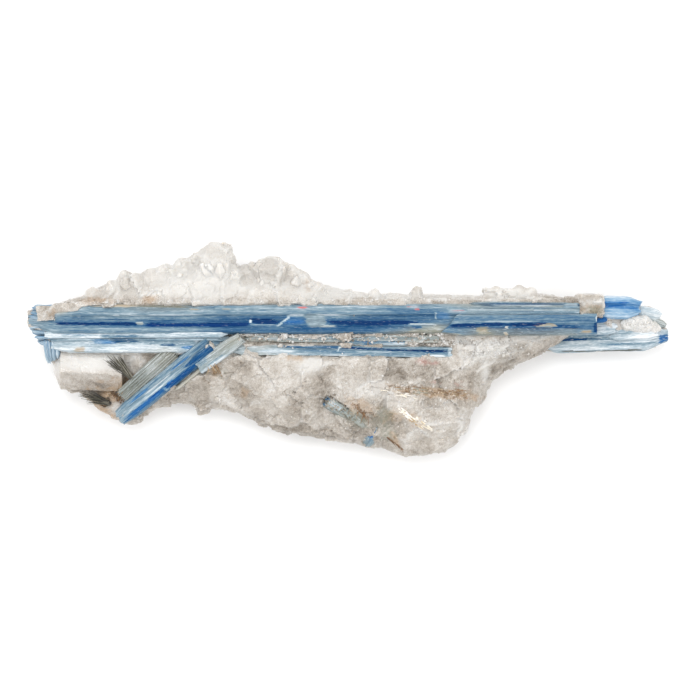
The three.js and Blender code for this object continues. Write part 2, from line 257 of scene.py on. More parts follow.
class SharedEffect(Enum):
    """Effects that more than one finish uses, each a node group that is built once."""

    STREAKS = "fine streaks along a blade"
    GLITTER = "small broken facets"
    GRIME = "ochre stains and fine dark dirt"

    def group(self) -> bpy.types.NodeTree:
        """The effect's node group, built when it is first asked for.

        Returns:
            The group.
        """
        tree = bpy.data.node_groups.get(self.value)
        if tree is None:
            tree = bpy.data.node_groups.new(self.value, "ShaderNodeTree")
            build = {
                SharedEffect.STREAKS: self._build_streaks,
                SharedEffect.GLITTER: self._build_glitter,
                SharedEffect.GRIME: self._build_grime,
            }[self]
            build(tree)
        return tree

    @staticmethod
    def _start(tree: bpy.types.NodeTree, numbers: dict[str, float],
               outputs: tuple[str, ...]) -> tuple[Graph, bpy.types.Node]:
        """Gives a group its sockets.

        Args:
            tree: the empty group.
            numbers: its number inputs, besides Vector, with their usual values.
            outputs: the names of its outputs.

        Returns:
            The group's graph, and the node that its inputs come from.
        """
        tree.interface.new_socket("Vector", in_out="INPUT", socket_type="NodeSocketVector")
        for name, value in numbers.items():
            socket = tree.interface.new_socket(name, in_out="INPUT", socket_type="NodeSocketFloat")
            socket.default_value = value
        for name in outputs:
            tree.interface.new_socket(name, in_out="OUTPUT", socket_type="NodeSocketFloat")
        graph = Graph(tree)
        return graph, graph.add("NodeGroupInput")

    def _build_streaks(self, tree: bpy.types.NodeTree) -> None:
        """Streaks that run along U, from broad ones to hairlines.

        Args:
            tree: the empty group.
        """
        graph, source = self._start(tree, {"Stretch": 14.0}, ("Broad", "Fine", "Hair"))
        squeeze = graph.joined(graph.math("DIVIDE", 1.0, source.outputs["Stretch"]), 1.0, 1.0)
        drawn = graph.vector("MULTIPLY", source.outputs["Vector"], squeeze)
        graph.add("NodeGroupOutput", {
            "Broad": graph.noise(drawn, 0.9, 5.0, 0.4),
            "Fine": graph.noise(drawn, 3.4, 4.0, 0.2),
            "Hair": graph.noise(drawn, 9.0, 2.0),
        })

    def _build_glitter(self, tree: bpy.types.NodeTree) -> None:
        """Small flat facets that each lean their own way.

        Args:
            tree: the empty group.
        """
        graph, source = self._start(tree, {"Facet size": 1.2}, ("Tint", "Height"))
        rate = graph.math("DIVIDE", 1.0, source.outputs["Facet size"])
        place = graph.scaled(source.outputs["Vector"], rate)
        wander = graph.add("ShaderNodeTexNoise", {"Vector": place, "Scale": 0.9, "Detail": 3.0}).outputs[1]
        place = graph.vector("ADD", place, graph.scaled(wander, 0.7))
        cells = graph.add("ShaderNodeTexVoronoi", {"Vector": place, "Scale": 1.0})
        graph.add("NodeGroupOutput", {
            "Tint": graph.add("ShaderNodeSeparateXYZ", {0: cells.outputs["Color"]}).outputs[0],
            "Height": leaning_plane(graph, place, cells),
        })

    def _build_grime(self, tree: bpy.types.NodeTree) -> None:
        """A mask of stains where the given amount is high, and a mask of dark specks.

        Args:
            tree: the empty group.
        """
        graph, source = self._start(tree, {"Amount": 0.0}, ("Stain", "Dirt"))
        cloud = graph.noise(source.outputs["Vector"], 0.35, 6.0, 0.8)
        reach = graph.total(cloud, (source.outputs["Amount"], 0.75))
        speck = graph.noise(source.outputs["Vector"], 1.6, 5.0, 1.2)
        graph.add("NodeGroupOutput", {
            "Stain": graph.range(reach, 0.72, 1.1),
            "Dirt": graph.math("MULTIPLY", graph.range(speck, 0.6, 0.72), graph.range(reach, 0.62, 0.95)),
        })


def leaning_plane(graph: Graph, place: bpy.types.NodeSocket, cells: bpy.types.Node) -> bpy.types.NodeSocket:
    """The height of a broken surface on which each cell is a flat facet with a lean of its own.

    Args:
        graph: where the nodes go.
        place: the place that the cells were found at.
        cells: a Voronoi node.

    Returns:
        The height's socket, in shares of a cell.
    """
    lean = graph.vector("SUBTRACT", cells.outputs["Color"], (0.5, 0.5, 0.5))
    return graph.vector("DOT_PRODUCT", lean, graph.vector("SUBTRACT", place, cells.outputs["Position"]))


def new_material(name: str) -> tuple[bpy.types.Material, Graph, bpy.types.Node]:
    """Starts a material.

    Args:
        name: what it is called.

    Returns:
        The material, its graph and its Principled shader.
    """
    material = bpy.data.materials.new(name)
    material.use_nodes = True
    return material, Graph(material.node_tree), material.node_tree.nodes["Principled BSDF"]


STEEL_BLUES = (
    (0.0, linear(222, 227, 230)),
    (0.18, linear(166, 182, 191)),
    (0.36, linear(120, 143, 156)),
    (0.52, linear(84, 116, 140)),
    (0.68, linear(54, 92, 126)),
    (0.84, linear(18, 70, 112)),
    (1.0, linear(0, 46, 94)),
)
VIVID_BLUES = (
    (0.0, linear(222, 227, 232)),
    (0.2, linear(162, 186, 204)),
    (0.4, linear(114, 154, 188)),
    (0.6, linear(70, 122, 172)),
    (0.8, linear(28, 92, 156)),
    (1.0, linear(0, 54, 124)),
)
KYANITE_EARTHS = (
    (0.0, linear(204, 200, 190)),
    (0.35, linear(158, 157, 144)),
    (0.65, linear(116, 118, 108)),
    (1.0, linear(70, 71, 63)),
)
# The quartz's tones from pale to deep grey, also used to paint shade on faces turned away from the light.
QUARTZ_DEPTHS_AND_SHADE = (
    (0.0, linear(236, 234, 231)),
    (0.35, linear(212, 206, 198)),
    (0.68, linear(178, 169, 158)),
    (1.0, linear(130, 120, 108)),
)
# The milky white, also used to paint light on faces turned to the light.
MILK_AND_LIGHT = linear(230, 228, 224)
OCHRE = linear(184, 146, 98)
RUST = linear(150, 84, 46)
CORAL = linear(214, 92, 84)
MOSS = linear(140, 144, 128)


@dataclass(frozen=True)
class KyaniteFinish:
    """Glassy to pearly kyanite, streaked along the blade."""

    name: str
    contrast: float = 0.6
    specks: float = 0.7
    stretch: float = 14.0
    roughness: float = 0.36
    fine_share: float = 1.2
    hair_share: float = 0.9
    ragged_cover: float = 0.85
    earth_streaks: float = 0.5
    vivid_streaks: float = 0.8
    groove: float = 0.25
    ior: float = 1.55
    shine: float = 0.07

    def material(self) -> bpy.types.Material:
        """Builds the material. It reads tone, earth, cover, ochre, coral and vivid from the mesh's points.

        Returns:
            The material.
        """
        material, graph, shader = new_material(self.name)
        place = graph.add("ShaderNodeUVMap", uv_map="blade").outputs[0]
        streaks = graph.shared(SharedEffect.STREAKS, {"Vector": place, "Stretch": self.stretch}).outputs
        broad, fine, hair = (graph.centred(streaks[name]) for name in ("Broad", "Fine", "Hair"))
        shift = graph.total(broad, (fine, self.fine_share), (hair, self.hair_share))
        cover = graph.range(graph.total(graph.attribute("cover"), (shift, self.ragged_cover)), 0.3, 0.7)
        tone = graph.blend(cover, graph.attribute("tone"), graph.attribute("cover_tone"))
        tone = graph.total(tone, (shift, self.contrast))
        earth = graph.blend(cover, graph.attribute("earth"), graph.attribute("cover_earth"))
        earth = graph.total(earth, (shift, self.earth_streaks))
        vivid = graph.total(graph.attribute("vivid"), (broad, self.vivid_streaks))
        steel, deep = graph.ramp(tone, STEEL_BLUES), graph.ramp(tone, VIVID_BLUES)
        blue = graph.mix(graph.range(vivid, 0.1, 0.9), steel, deep)
        colour = graph.mix(graph.range(earth, 0.2, 0.85), blue, graph.ramp(tone, KYANITE_EARTHS))
        flecks = graph.noise(graph.vector("MULTIPLY", place, (0.3, 1.5, 1.0)), 2.2, 6.0, 0.3)
        speckle = graph.total(self.specks, (graph.attribute("earth"), 0.6))
        white = graph.math("MULTIPLY", graph.range(flecks, 0.59, 0.7), speckle)
        colour = graph.mix(white, colour, STEEL_BLUES[0][1])
        ochre = graph.total(graph.attribute("ochre"), (flecks, 0.7), (fine, 0.6))
        colour = graph.mix(graph.range(ochre, 0.62, 1.3, 0.0, 0.8), colour, OCHRE)
        coral = graph.total(graph.attribute("coral"), (fine, 1.6))
        colour = graph.mix(graph.range(coral, 0.4, 0.9, 0.0, 0.75), colour, CORAL)
        rough = graph.range(streaks["Fine"], 0.3, 0.7, self.roughness - 0.12, self.roughness + 0.14)
        height = graph.total(streaks["Fine"], (streaks["Hair"], 0.5))
        bump = graph.add("ShaderNodeBump", {
            "Height": height, "Strength": 0.5, "Distance": self.groove * MM})
        graph.feed(shader, {
            "Base Color": colour,
            "Roughness": rough,
            "Normal": bump.outputs[0],
            "IOR": self.ior,
            "Specular IOR Level": self.shine,
        })
        return material


@dataclass(frozen=True)
class QuartzFinish:
    """Quartz, milky or clear, with greyish depths, ochre stains and broken facets, and with some painted
    shade and painted light.
    """

    name: str
    transmission: float
    roughness: float
    glow: float = 0.6
    glow_reach: float = 2.6
    glow_colour: tuple[float, float, float] = (1.0, 0.94, 0.86)
    facet: float = 2.4
    facet_relief: float = 0.5
    relief: float = 0.2
    depth: float = 0.26
    absorption: float = 10.0
    absorbed: tuple[float, float, float, float] = (0.9, 0.84, 0.78, 1.0)
    ior: float = 1.54

    def material(self) -> bpy.types.Material:
        """Builds the material. It reads the stains, each facet's tint and its rim from the mesh's points.

        Returns:
            The material.
        """
        material, graph, shader = new_material(self.name)
        place = graph.scaled(graph.add("ShaderNodeTexCoord").outputs["Object"], 1 / MM)
        glitter = graph.shared(SharedEffect.GLITTER, {"Vector": place, "Facet size": self.facet}).outputs
        stained = {"Vector": place, "Amount": graph.attribute("stain")}
        grime = graph.shared(SharedEffect.GRIME, stained).outputs
        cloud = graph.centred(graph.noise(place, 0.14, 5.0, 0.6))
        mottle = graph.centred(graph.noise(place, 1.1, 4.0, 0.4))
        grain = graph.centred(graph.noise(place, 3.2, 3.0))
        # The grey amount is mostly grey quartz, but it also carries painted shade on faces turned away from
        # the light.
        depth = graph.total(
            self.depth, (graph.attribute("grey_and_shade"), 0.42), (cloud, 0.9), (mottle, 0.7), (grain, 1.0),
            (graph.attribute("tint"), 0.3), (graph.attribute("shade"), 0.7), (glitter["Tint"], 0.14))
        colour = graph.ramp(depth, QUARTZ_DEPTHS_AND_SHADE)
        # The milk amount is mostly milky quartz, but it also carries painted light on the lying crystal's
        # upper face.
        milk_and_light = graph.total(
            graph.attribute("milk_and_light"), (graph.attribute("rim"), 0.5), (mottle, 0.9), (cloud, 0.5))
        colour = graph.mix(graph.range(milk_and_light, 0.3, 0.85, 0.0, 0.85), colour, MILK_AND_LIGHT)
        for name, tint in (("Stain", OCHRE), ("Dirt", RUST)):
            colour = graph.mix(graph.math("MULTIPLY", grime[name], 0.5), colour, tint)
        for name, tint, most in (("coral", CORAL, 0.24), ("moss", MOSS, 0.6)):
            amount = graph.total(graph.attribute(name), (mottle, 1.6))
            colour = graph.mix(graph.range(amount, 0.35, 1.0, 0.0, most), colour, tint)
        rough = graph.range(glitter["Tint"], 0.0, 1.0, self.roughness - 0.08, self.roughness + 0.16)
        height = graph.total(glitter["Height"], (graph.noise(place, 1.8, 5.0), 0.6))
        bump = graph.add("ShaderNodeBump", {
            "Height": height, "Strength": self.relief, "Distance": self.facet_relief * MM})
        graph.feed(shader, {
            "Base Color": colour,
            "Roughness": rough,
            "Normal": bump.outputs[0],
            "IOR": self.ior,
            "Transmission Weight": self.transmission,
            "Subsurface Weight": self.glow,
            "Subsurface Radius": self.glow_colour,
            "Subsurface Scale": self.glow_reach * MM,
        })
        body = {"Color": self.absorbed, "Density": self.absorption}
        volume = graph.add("ShaderNodeVolumeAbsorption", body).outputs[0]
        graph.feed(material.node_tree.nodes["Material Output"], {"Volume": volume})
        return material


@dataclass(frozen=True)
class FibreFinish:
    """Silky fibres and thin splinters, each with its own shade and a fine grain."""

    name: str
    stops: tuple[tuple[float, tuple[int, int, int]], ...]
    grain_scale: float = 700.0
    grain_detail: float = 4.0
    grain_share: float = 0.6
    smoothest: float = 0.25
    roughest: float = 0.55

    def material(self) -> bpy.types.Material:
        """Builds the material. It reads the shade of each fibre from its points.

        Returns:
            The material.
        """
        material, graph, shader = new_material(self.name)
        metres = graph.add("ShaderNodeTexCoord").outputs["Object"]
        grain = graph.centred(graph.noise(metres, self.grain_scale, self.grain_detail))
        share = graph.total(graph.attribute("shade"), (grain, self.grain_share))
        graph.feed(shader, {
            "Base Color": graph.ramp(share, tuple((place, linear(*rgb)) for place, rgb in self.stops)),
            "Roughness": graph.range(grain, -0.2, 0.2, self.smoothest, self.roughest),
        })
        return material


MICA_FIBRES = FibreFinish("mica_fibres", (
    (0.0, (46, 44, 38)), (0.6, (104, 100, 86)), (1.0, (168, 164, 150))), 900.0, 3.0, 0.5, 0.28, 0.5)
BROWN_NEEDLES = FibreFinish("brown_needles", (
    (0.0, (204, 190, 164)), (0.5, (150, 118, 84)), (1.0, (92, 66, 48))))
PALE_SPLINTERS = FibreFinish("pale_splinters", (
    (0.0, (244, 241, 234)), (0.6, (226, 212, 182)), (1.0, (178, 144, 100))))


@dataclass(frozen=True)
class FloorFinish:
    """A plain pale matt surface."""

    name: str = "pale_floor"
    colour: tuple[float, float, float, float] = (0.94, 0.94, 0.94, 1.0)
    roughness: float = 0.9
    shine: float = 0.1

    def material(self) -> bpy.types.Material:
        """Builds the material.

        Returns:
            The material.
        """
        material, graph, shader = new_material(self.name)
        graph.feed(shader, {
            "Base Color": self.colour, "Roughness": self.roughness, "Specular IOR Level": self.shine})
        return material


@dataclass(frozen=True)
class Piece:
    """A visible piece's name, material slot and material, and the part's nodes that it stands for."""

    name: str
    slot: str
    finish: bpy.types.Material
    nodes: tuple[str, ...] = ()

    def from_mesh(self, mesh: bpy.types.Mesh) -> bpy.types.Object:
        """Adds the finished mesh to the specimen.

        Args:
            mesh: the mesh, in metres.

        Returns:
            The piece's object.
        """
        mesh.name = self.name
        piece = bpy.data.objects.new(self.name, mesh)
        bpy.context.scene.collection.objects.link(piece)
        if not mesh.materials:
            mesh.materials.append(self.finish)
        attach(piece, BODY)
        if self.nodes:
            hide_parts(*self.nodes)
        log.info("%s: %d faces", self.name, len(mesh.polygons))
        return piece


def mesh_from(vertices: np.ndarray, faces: list,
              attributes: dict[str, np.ndarray] | None = None) -> bpy.types.Mesh:
    """A mesh with flat faces.

    Args:
        vertices: places in millimetres, one row each.
        faces: vertex numbers of each face, turned to face out.
        attributes: numbers to store on the points, by name.

    Returns:
        The new mesh, in metres.
    """
    mesh = bpy.data.meshes.new("shape")
    mesh.from_pydata((vertices * MM).tolist(), [], faces)
    store(mesh, attributes or {})
    mesh.update()
    return mesh


def store(mesh: bpy.types.Mesh, attributes: dict[str, np.ndarray]) -> None:
    """Stores numbers on a mesh's points.

    Args:
        mesh: the mesh.
        attributes: one number for each point, by name.
    """
    for name, values in attributes.items():
        target = mesh.attributes.new(name, "FLOAT", "POINT")
        target.data.foreach_set("value", np.asarray(values, np.float32).ravel())


def points_of(mesh: bpy.types.Mesh) -> np.ndarray:
    """Where a mesh's points are.

    Args:
        mesh: a mesh in metres.

    Returns:
        The places in millimetres, one row each.
    """
    flat = np.zeros(len(mesh.vertices) * 3, np.float32)
    mesh.vertices.foreach_get("co", flat)
    return flat.reshape(-1, 3).astype(float) / MM


class GrownShape:
    """Runs a Geometry Nodes tree on a mesh and hands back the plain result."""

    KINDS = {float: "NodeSocketFloat", int: "NodeSocketInt", tuple: "NodeSocketVector"}

    def __init__(self, name: str, sizes: dict[str, Any]) -> None:
        """Starts a tree that takes a geometry and the named sizes.

        Args:
            name: what the tree is called.
            sizes: its named inputs, with the values that it runs with.
        """
        self.tree = bpy.data.node_groups.new(name, "GeometryNodeTree")
        self.sizes = sizes
        sockets = self.tree.interface
        sockets.new_socket("Geometry", in_out="INPUT", socket_type="NodeSocketGeometry")
        for key, value in sizes.items():
            sockets.new_socket(key, in_out="INPUT", socket_type=self.KINDS[type(value)])
        sockets.new_socket("Geometry", in_out="OUTPUT", socket_type="NodeSocketGeometry")
        self.graph = Graph(self.tree)
        self.source = self.graph.add("NodeGroupInput")

    def start(self) -> bpy.types.NodeSocket:
        """The geometry that the tree is given."""
        return self.source.outputs[0]

    def size(self, name: str) -> bpy.types.NodeSocket:
        """The socket of one of the named sizes."""
        return self.source.outputs[name]

    def read_place(self) -> bpy.types.NodeSocket:
        """Each point's place, in millimetres."""
        return self.graph.scaled(self.graph.add("GeometryNodeInputPosition").outputs[0], 1 / MM)

    def read(self, name: str, kind: str = "FLOAT") -> bpy.types.NodeSocket:
        """What the points hold under a name."""
        return self.graph.add("GeometryNodeInputNamedAttribute", {"Name": name}, data_type=kind).outputs[0]

    def keep(self, geometry: bpy.types.NodeSocket, name: str, value: bpy.types.NodeSocket,
             domain: str = "POINT") -> bpy.types.NodeSocket:
        """Stores one more number on a geometry.

        Args:
            geometry: what holds the number.
            name: the number's name.
            value: the number.
            domain: POINT for one on each point, INSTANCE for one on each instance.

        Returns:
            The geometry with the number on it.
        """
        inputs = {"Geometry": geometry, "Name": name, "Value": value}
        node = self.graph.add("GeometryNodeStoreNamedAttribute", inputs, data_type="FLOAT", domain=domain)
        return node.outputs[0]

    def finish_with(self, geometry: bpy.types.NodeSocket, material: bpy.types.Material) -> None:
        """Closes the tree: instances become plain geometry and take the material.

        Args:
            geometry: what the tree has made.
            material: the material that it takes.
        """
        plain = self.graph.add("GeometryNodeRealizeInstances", {"Geometry": geometry}).outputs[0]
        look = {"Geometry": plain, "Material": material}
        dressed = self.graph.add("GeometryNodeSetMaterial", look).outputs[0]
        self.graph.add("NodeGroupOutput", {"Geometry": dressed})

    def run(self, mesh: bpy.types.Mesh, remesh_step: float = 0.0) -> bpy.types.Mesh:
        """Evaluates the tree.

        Args:
            mesh: what the tree starts from.
            remesh_step: grid step in millimetres of an even mesh that is laid over it first, or 0.

        Returns:
            A new plain mesh.
        """
        carrier = bpy.data.objects.new("carrier", mesh)
        bpy.context.scene.collection.objects.link(carrier)
        if remesh_step:
            even = carrier.modifiers.new("even", "REMESH")
            even.mode = "VOXEL"
            even.voxel_size = remesh_step * MM
        grow = carrier.modifiers.new("grow", "NODES")
        grow.node_group = self.tree
        for item in self.tree.interface.items_tree:
            if item.in_out == "INPUT" and item.name in self.sizes:
                grow[item.identifier] = self.sizes[item.name]
        depsgraph = bpy.context.evaluated_depsgraph_get()
        result = bpy.data.meshes.new_from_object(carrier.evaluated_get(depsgraph), depsgraph=depsgraph)
        carrier.modifiers.clear()
        bpy.data.objects.remove(carrier)
        return result


@dataclass(frozen=True)
class Spot:
    """A soft oval place on the specimen, seen from above, where one amount is higher."""

    x: float
    y: float
    reach_x: float
    reach_y: float
    amount: float
    turn: float = 0.0

    def strength(self, points: np.ndarray) -> np.ndarray:
        """How strongly the spot acts at each point.

        Args:
            points: places in millimetres.

        Returns:
            The amount at the middle of the spot, falling to 0 outside it.
        """
        angle = math.radians(self.turn)
        x, y = points[:, 0] - self.x, points[:, 1] - self.y
        along = (x * math.cos(angle) + y * math.sin(angle)) / self.reach_x
        across = (y * math.cos(angle) - x * math.sin(angle)) / self.reach_y
        return self.amount * np.exp(-(along ** 2 + across ** 2))


OCHRE_SPOTS = [
    Spot(-79, 15.2, 7, 1.4, 0.7), Spot(-62, 15.4, 3, 1.6, 0.9), Spot(-87.7, -10.5, 1.6, 1.6, 1.0),
    Spot(-84.3, -0.4, 1.8, 1.6, 0.8), Spot(-73, -12, 3.6, 3.2, 1.2), Spot(-78.5, -18.4, 6, 2.6, 1.1, -40),
    Spot(-67.6, -9.2, 2.2, 2.4, 1.2), Spot(-74.6, -14.6, 3, 2, 1.0), Spot(-42, -5.8, 2.6, 3, 0.8),
    Spot(-33, -13.3, 2.8, 2.2, 0.6), Spot(-17, -2.4, 5, 1.2, 0.8), Spot(2.6, -17.4, 6, 3.4, 0.6, -20),
    Spot(12.5, -20, 3.4, 3, 0.6), Spot(27, -13.3, 15, 1.8, 1.1, -6), Spot(20, -21, 6, 2.6, 0.6, -30),
    Spot(14, -28, 1.2, 4, 0.9, 30), Spot(44, 3.4, 12, 1.2, 0.3), Spot(75, 12.4, 3.4, 2.2, 0.8),
    Spot(-91, 11.4, 4, 2.4, 0.45), Spot(-13, 19, 1.5, 5, 0.4),
]
# Grey spots darken grey quartz. Two are painted shade instead: on the slope right of the lobe and on the
# lying crystal's lower face, both turned away from the light.
GREY_AND_SHADE_SPOTS = [
    Spot(-34, -5, 5, 3.4, 0.8), Spot(-9, -9.5, 6, 3, 0.6, 30), Spot(16, -7, 10, 3.6, 0.8),
    # Painted shade: the last spot on this line darkens the steep slope right of the lobe, which faces away
    # from the light.
    Spot(-13, -26.5, 12, 2.6, 0.5, -6), Spot(-15, -19, 9, 4, 0.6), Spot(55, -1.6, 14, 2.4, 0.8, 25),
    Spot(64, 15.4, 9, 2, 0.9), Spot(30, 15.8, 11, 1.4, 0.6), Spot(-25, 25, 5, 4, 0.45),
    Spot(-64, 19, 9, 4, 0.4), Spot(37, -18, 3, 8, 0.4), Spot(-91, 12.4, 5, 3, 0.7),
    # Painted shade: the last spot on this line darkens the lower face of the lying crystal, which faces
    # away from the light.
    Spot(-79, -20, 5, 3, 0.6), Spot(-56, -14, 8, 3, 0.5, -20), Spot(-80, -11.0, 11, 2.5, 1.7),
    Spot(4, -22.4, 5, 4, 0.9), Spot(-3, -18.4, 8, 3.6, 0.6, -30), Spot(10.6, -20.4, 4.4, 4.2, 0.7),
    Spot(75, 12.4, 4.6, 2.4, 0.8),
]
CORAL_SPOTS = [
    Spot(22.6, -3.6, 2.6, 1.3, 1.0), Spot(26.4, -4.2, 1.4, 0.8, 0.8), Spot(26, -10.0, 2.4, 0.8, 0.7, -10),
    Spot(33.4, -10.6, 2.2, 1.0, 0.6), Spot(31, 16.4, 3.4, 1.0, 0.3),
]
MOSS_SPOTS = [
    Spot(2.4, -21.4, 4.4, 2.8, 1.0, -35), Spot(10.6, -20.6, 3.8, 4.0, 0.9),
    Spot(12, -26.6, 3.4, 2.6, 0.7), Spot(-5, -18, 6, 2.4, 0.6, -30), Spot(75, 12.0, 4.0, 1.8, 1.1),
    Spot(-40, -6.4, 3, 2.6, 0.7), Spot(96, 8.8, 3, 1.4, 0.7),
]
# Milk spots whiten milky quartz. One is painted light instead: the lying crystal's upper face, turned to
# the light.
MILK_AND_LIGHT_SPOTS = [
    Spot(-12.4, -5, 5, 3, 0.9), Spot(7, -12.4, 9, 3.4, 0.6, -22), Spot(42, -0.8, 12, 2.6, 0.62, 12),
    # Painted light: the last spot on this line whitens the upper face of the lying crystal, which faces the
    # light.
    Spot(-46, 21, 10, 6, 0.7), Spot(42, -7.4, 2, 4.4, 0.8), Spot(-80, -3.4, 13, 3.2, 1.3),
    Spot(21, -24, 6, 5, 0.5), Spot(36, -24, 3, 6, 0.5), Spot(58, 4.4, 8, 1.4, 0.9, 8),
    Spot(91, 8.4, 7, 3, 1.5), Spot(74.5, 14.6, 4, 1.6, 0.7), Spot(50, 17.6, 9, 2.4, 0.6),
    Spot(24, 15.8, 18, 2.0, 0.34), Spot(-8, 17, 8, 3, 0.5), Spot(38, 2.6, 9, 1.8, 0.64),
    Spot(-88, 12.4, 9, 2, 0.4),
]
DENTS = [Spot(-80, -7.6, 12, 6.8, 4.0), Spot(27, -13, 13, 1.6, 0.5, -6), Spot(-2, -0.9, 30, 1.3, 1.0)]
SPOTS = {
    "stain": OCHRE_SPOTS, "grey_and_shade": GREY_AND_SHADE_SPOTS, "coral": CORAL_SPOTS, "moss": MOSS_SPOTS, "milk_and_light": MILK_AND_LIGHT_SPOTS,
}
RIDGE_MILK = 0.56


def amounts(points: np.ndarray) -> dict[str, np.ndarray]:
    """What the quartz finish reads at points of the quartz.

    Args:
        points: places in millimetres.

    Returns:
        The amounts of stain, grey, coral, moss and milk at each point.
    """
    found = {name: sum(spot.strength(points) for spot in spots) for name, spots in SPOTS.items()}
    found["milk_and_light"] += RIDGE_MILK * soft_step(14, 18, points[:, 1]) * soft_step(80, 10, points[:, 0])
    return found


@dataclass(frozen=True)
class Facets:
    """One size of broken facet: how wide it is, and how deep it cuts."""

    width: float
    depth: float


@dataclass(frozen=True)
class QuartzMass:
    """The broken mass of quartz, laid over the part's own solid and closed up against the blades."""

    grid_step: float = 0.56
    coarse: Facets = Facets(9.5, 2.6)
    middle: Facets = Facets(4.0, 1.0)
    small: Facets = Facets(1.5, 0.34)
    ledge: float = 0.5
    ridge_calm: float = 0.35
    sink: float = 0.15
    flat_base: float = 1.6
    ridge_stretch: tuple[float, float, float] = (1.1, 0.75, 0.9)
    bend: float = 4.0
    ragged: float = 1.5
    rim_width: float = 0.09
    blade_gap: float = 0.3
    blade_cover: float = 1.1
    lowest: float = 0.2
    seed: int = 7

    def _bent_space(self, grown: GrownShape, place: bpy.types.NodeSocket,
                    ridge: bpy.types.NodeSocket) -> bpy.types.NodeSocket:
        """Places moved about, so that no two facets are alike, and drawn out on the ridge.

        Args:
            grown: the tree.
            place: each point's place in millimetres.
            ridge: 1 on the ridge, 0 off it.

        Returns:
            The places that the facets are laid out in.
        """
        graph = grown.graph
        bent = place
        for scale, reach in ((0.12, self.bend), (0.7, self.ragged)):
            inputs = {"Vector": place, "Scale": scale, "Detail": 3.0}
            sway = graph.add("ShaderNodeTexNoise", inputs).outputs[1]
            bent = graph.vector("ADD", bent, graph.scaled(sway, reach))
        inputs = {0: ridge, 4: (1.0, 1.0, 1.0), 5: grown.size("Ridge stretch")}
        stretch = graph.add("ShaderNodeMix", inputs, data_type="VECTOR").outputs[1]
        return graph.vector("MULTIPLY", bent, stretch)

    def _tree(self, finish: bpy.types.Material) -> GrownShape:
        """The rule that breaks a smooth mass: each cell of space moves its patch to a plane of its own.

        Args:
            finish: the material that the mass takes.

        Returns:
            The tree, ready to run.
        """
        facets = {"Coarse": self.coarse, "Middle": self.middle, "Small": self.small}
        sizes = {"Sink": self.sink, "Flat base": self.flat_base, "Ledge": self.ledge,
                 "Ridge stretch": self.ridge_stretch, "Ridge calm": self.ridge_calm}
        for name, size in facets.items():
            sizes[f"{name} width"] = size.width
            sizes[f"{name} depth"] = size.depth
        grown = GrownShape("broken_quartz", sizes)
        graph = grown.graph
        place = grown.read_place()
        _, y, z = graph.add("ShaderNodeSeparateXYZ", {0: place}).outputs
        ridge = graph.range(y, 10.0, 13.0)
        bent = self._bent_space(grown, place, ridge)
        total = graph.math("MULTIPLY", grown.size("Sink"), -1.0)
        tints = []
        spots = []
        for name in facets:
            spot = graph.scaled(bent, graph.math("DIVIDE", 1.0, grown.size(f"{name} width")))
            cells = graph.add("ShaderNodeTexVoronoi", {"Vector": spot, "Scale": 1.0})
            total = graph.total(total, (leaning_plane(graph, spot, cells), grown.size(f"{name} depth")))
            tints.append(graph.add("ShaderNodeSeparateXYZ", {0: cells.outputs["Color"]}).outputs)
            spots.append(spot)
        total = graph.total(total, (graph.centred(tints[0][2]), grown.size("Ledge")))
        calm = graph.math("SUBTRACT", 1.0, graph.math("MULTIPLY", ridge, grown.size("Ridge calm")))
        total = graph.math("MULTIPLY", total, calm)
        free = graph.math("DIVIDE", z, grown.size("Flat base"), clamp=True)
        normal = graph.add("GeometryNodeInputNormal").outputs[0]
        shift = graph.scaled(normal, graph.math("MULTIPLY", graph.math("MULTIPLY", total, free), MM))
        inputs = {"Vector": spots[0], "Scale": 1.0}
        edge = graph.add("ShaderNodeTexVoronoi", inputs, feature="DISTANCE_TO_EDGE").outputs["Distance"]
        tint = graph.total(tints[0][0], (graph.centred(tints[1][0]), 0.6))
        tinted = grown.keep(grown.start(), "tint", tint)
        rimmed = grown.keep(tinted, "rim", graph.range(edge, 0.0, self.rim_width, 1.0, 0.0))
        moved = graph.add("GeometryNodeSetPosition", {"Geometry": rimmed, "Offset": shift})
        grown.finish_with(moved.outputs[0], finish)
        return grown

    def broken(self, smooth: bpy.types.Mesh, finish: bpy.types.Material) -> bpy.types.Mesh:
        """A smooth closed shape, broken into facets and with its stains stored."""
        return dressed_quartz(self._tree(finish).run(smooth, self.grid_step))

    def _filled(self) -> bpy.types.Mesh:
        """The part's own mass, with the slots under the blades filled almost to their skins.

        Returns:
            The closed solids, still one inside another.
        """
        solid = bmesh.new()
        for name in ("quartz_matrix", *(cluster.node for cluster in ALL_CLUSTERS)):
            part = bmesh.new()
            part.from_mesh(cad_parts[name].data)
            bmesh.ops.remove_doubles(part, verts=part.verts, dist=0.001 * MM)
            if name != "quartz_matrix":
                part.normal_update()
                for vert in part.verts:
                    vert.co -= vert.normal * self.blade_gap * MM
                    vert.co.z = max(vert.co.z - self.blade_cover * MM, self.lowest * MM)
            merged = bpy.data.meshes.new("filling")
            part.to_mesh(merged)
            part.free()
            solid.from_mesh(merged)
        for lump in FILLINGS:
            bmesh.ops.create_cube(solid, size=1.0, matrix=lump.matrix())
        noise = np.random.default_rng(self.seed)
        solid.from_mesh(mesh_from(*merge_shapes([crystal.shape(noise) for crystal in RIDGE_CRYSTALS])))
        smooth = bpy.data.meshes.new("mass")
        solid.to_mesh(smooth)
        solid.free()
        return smooth

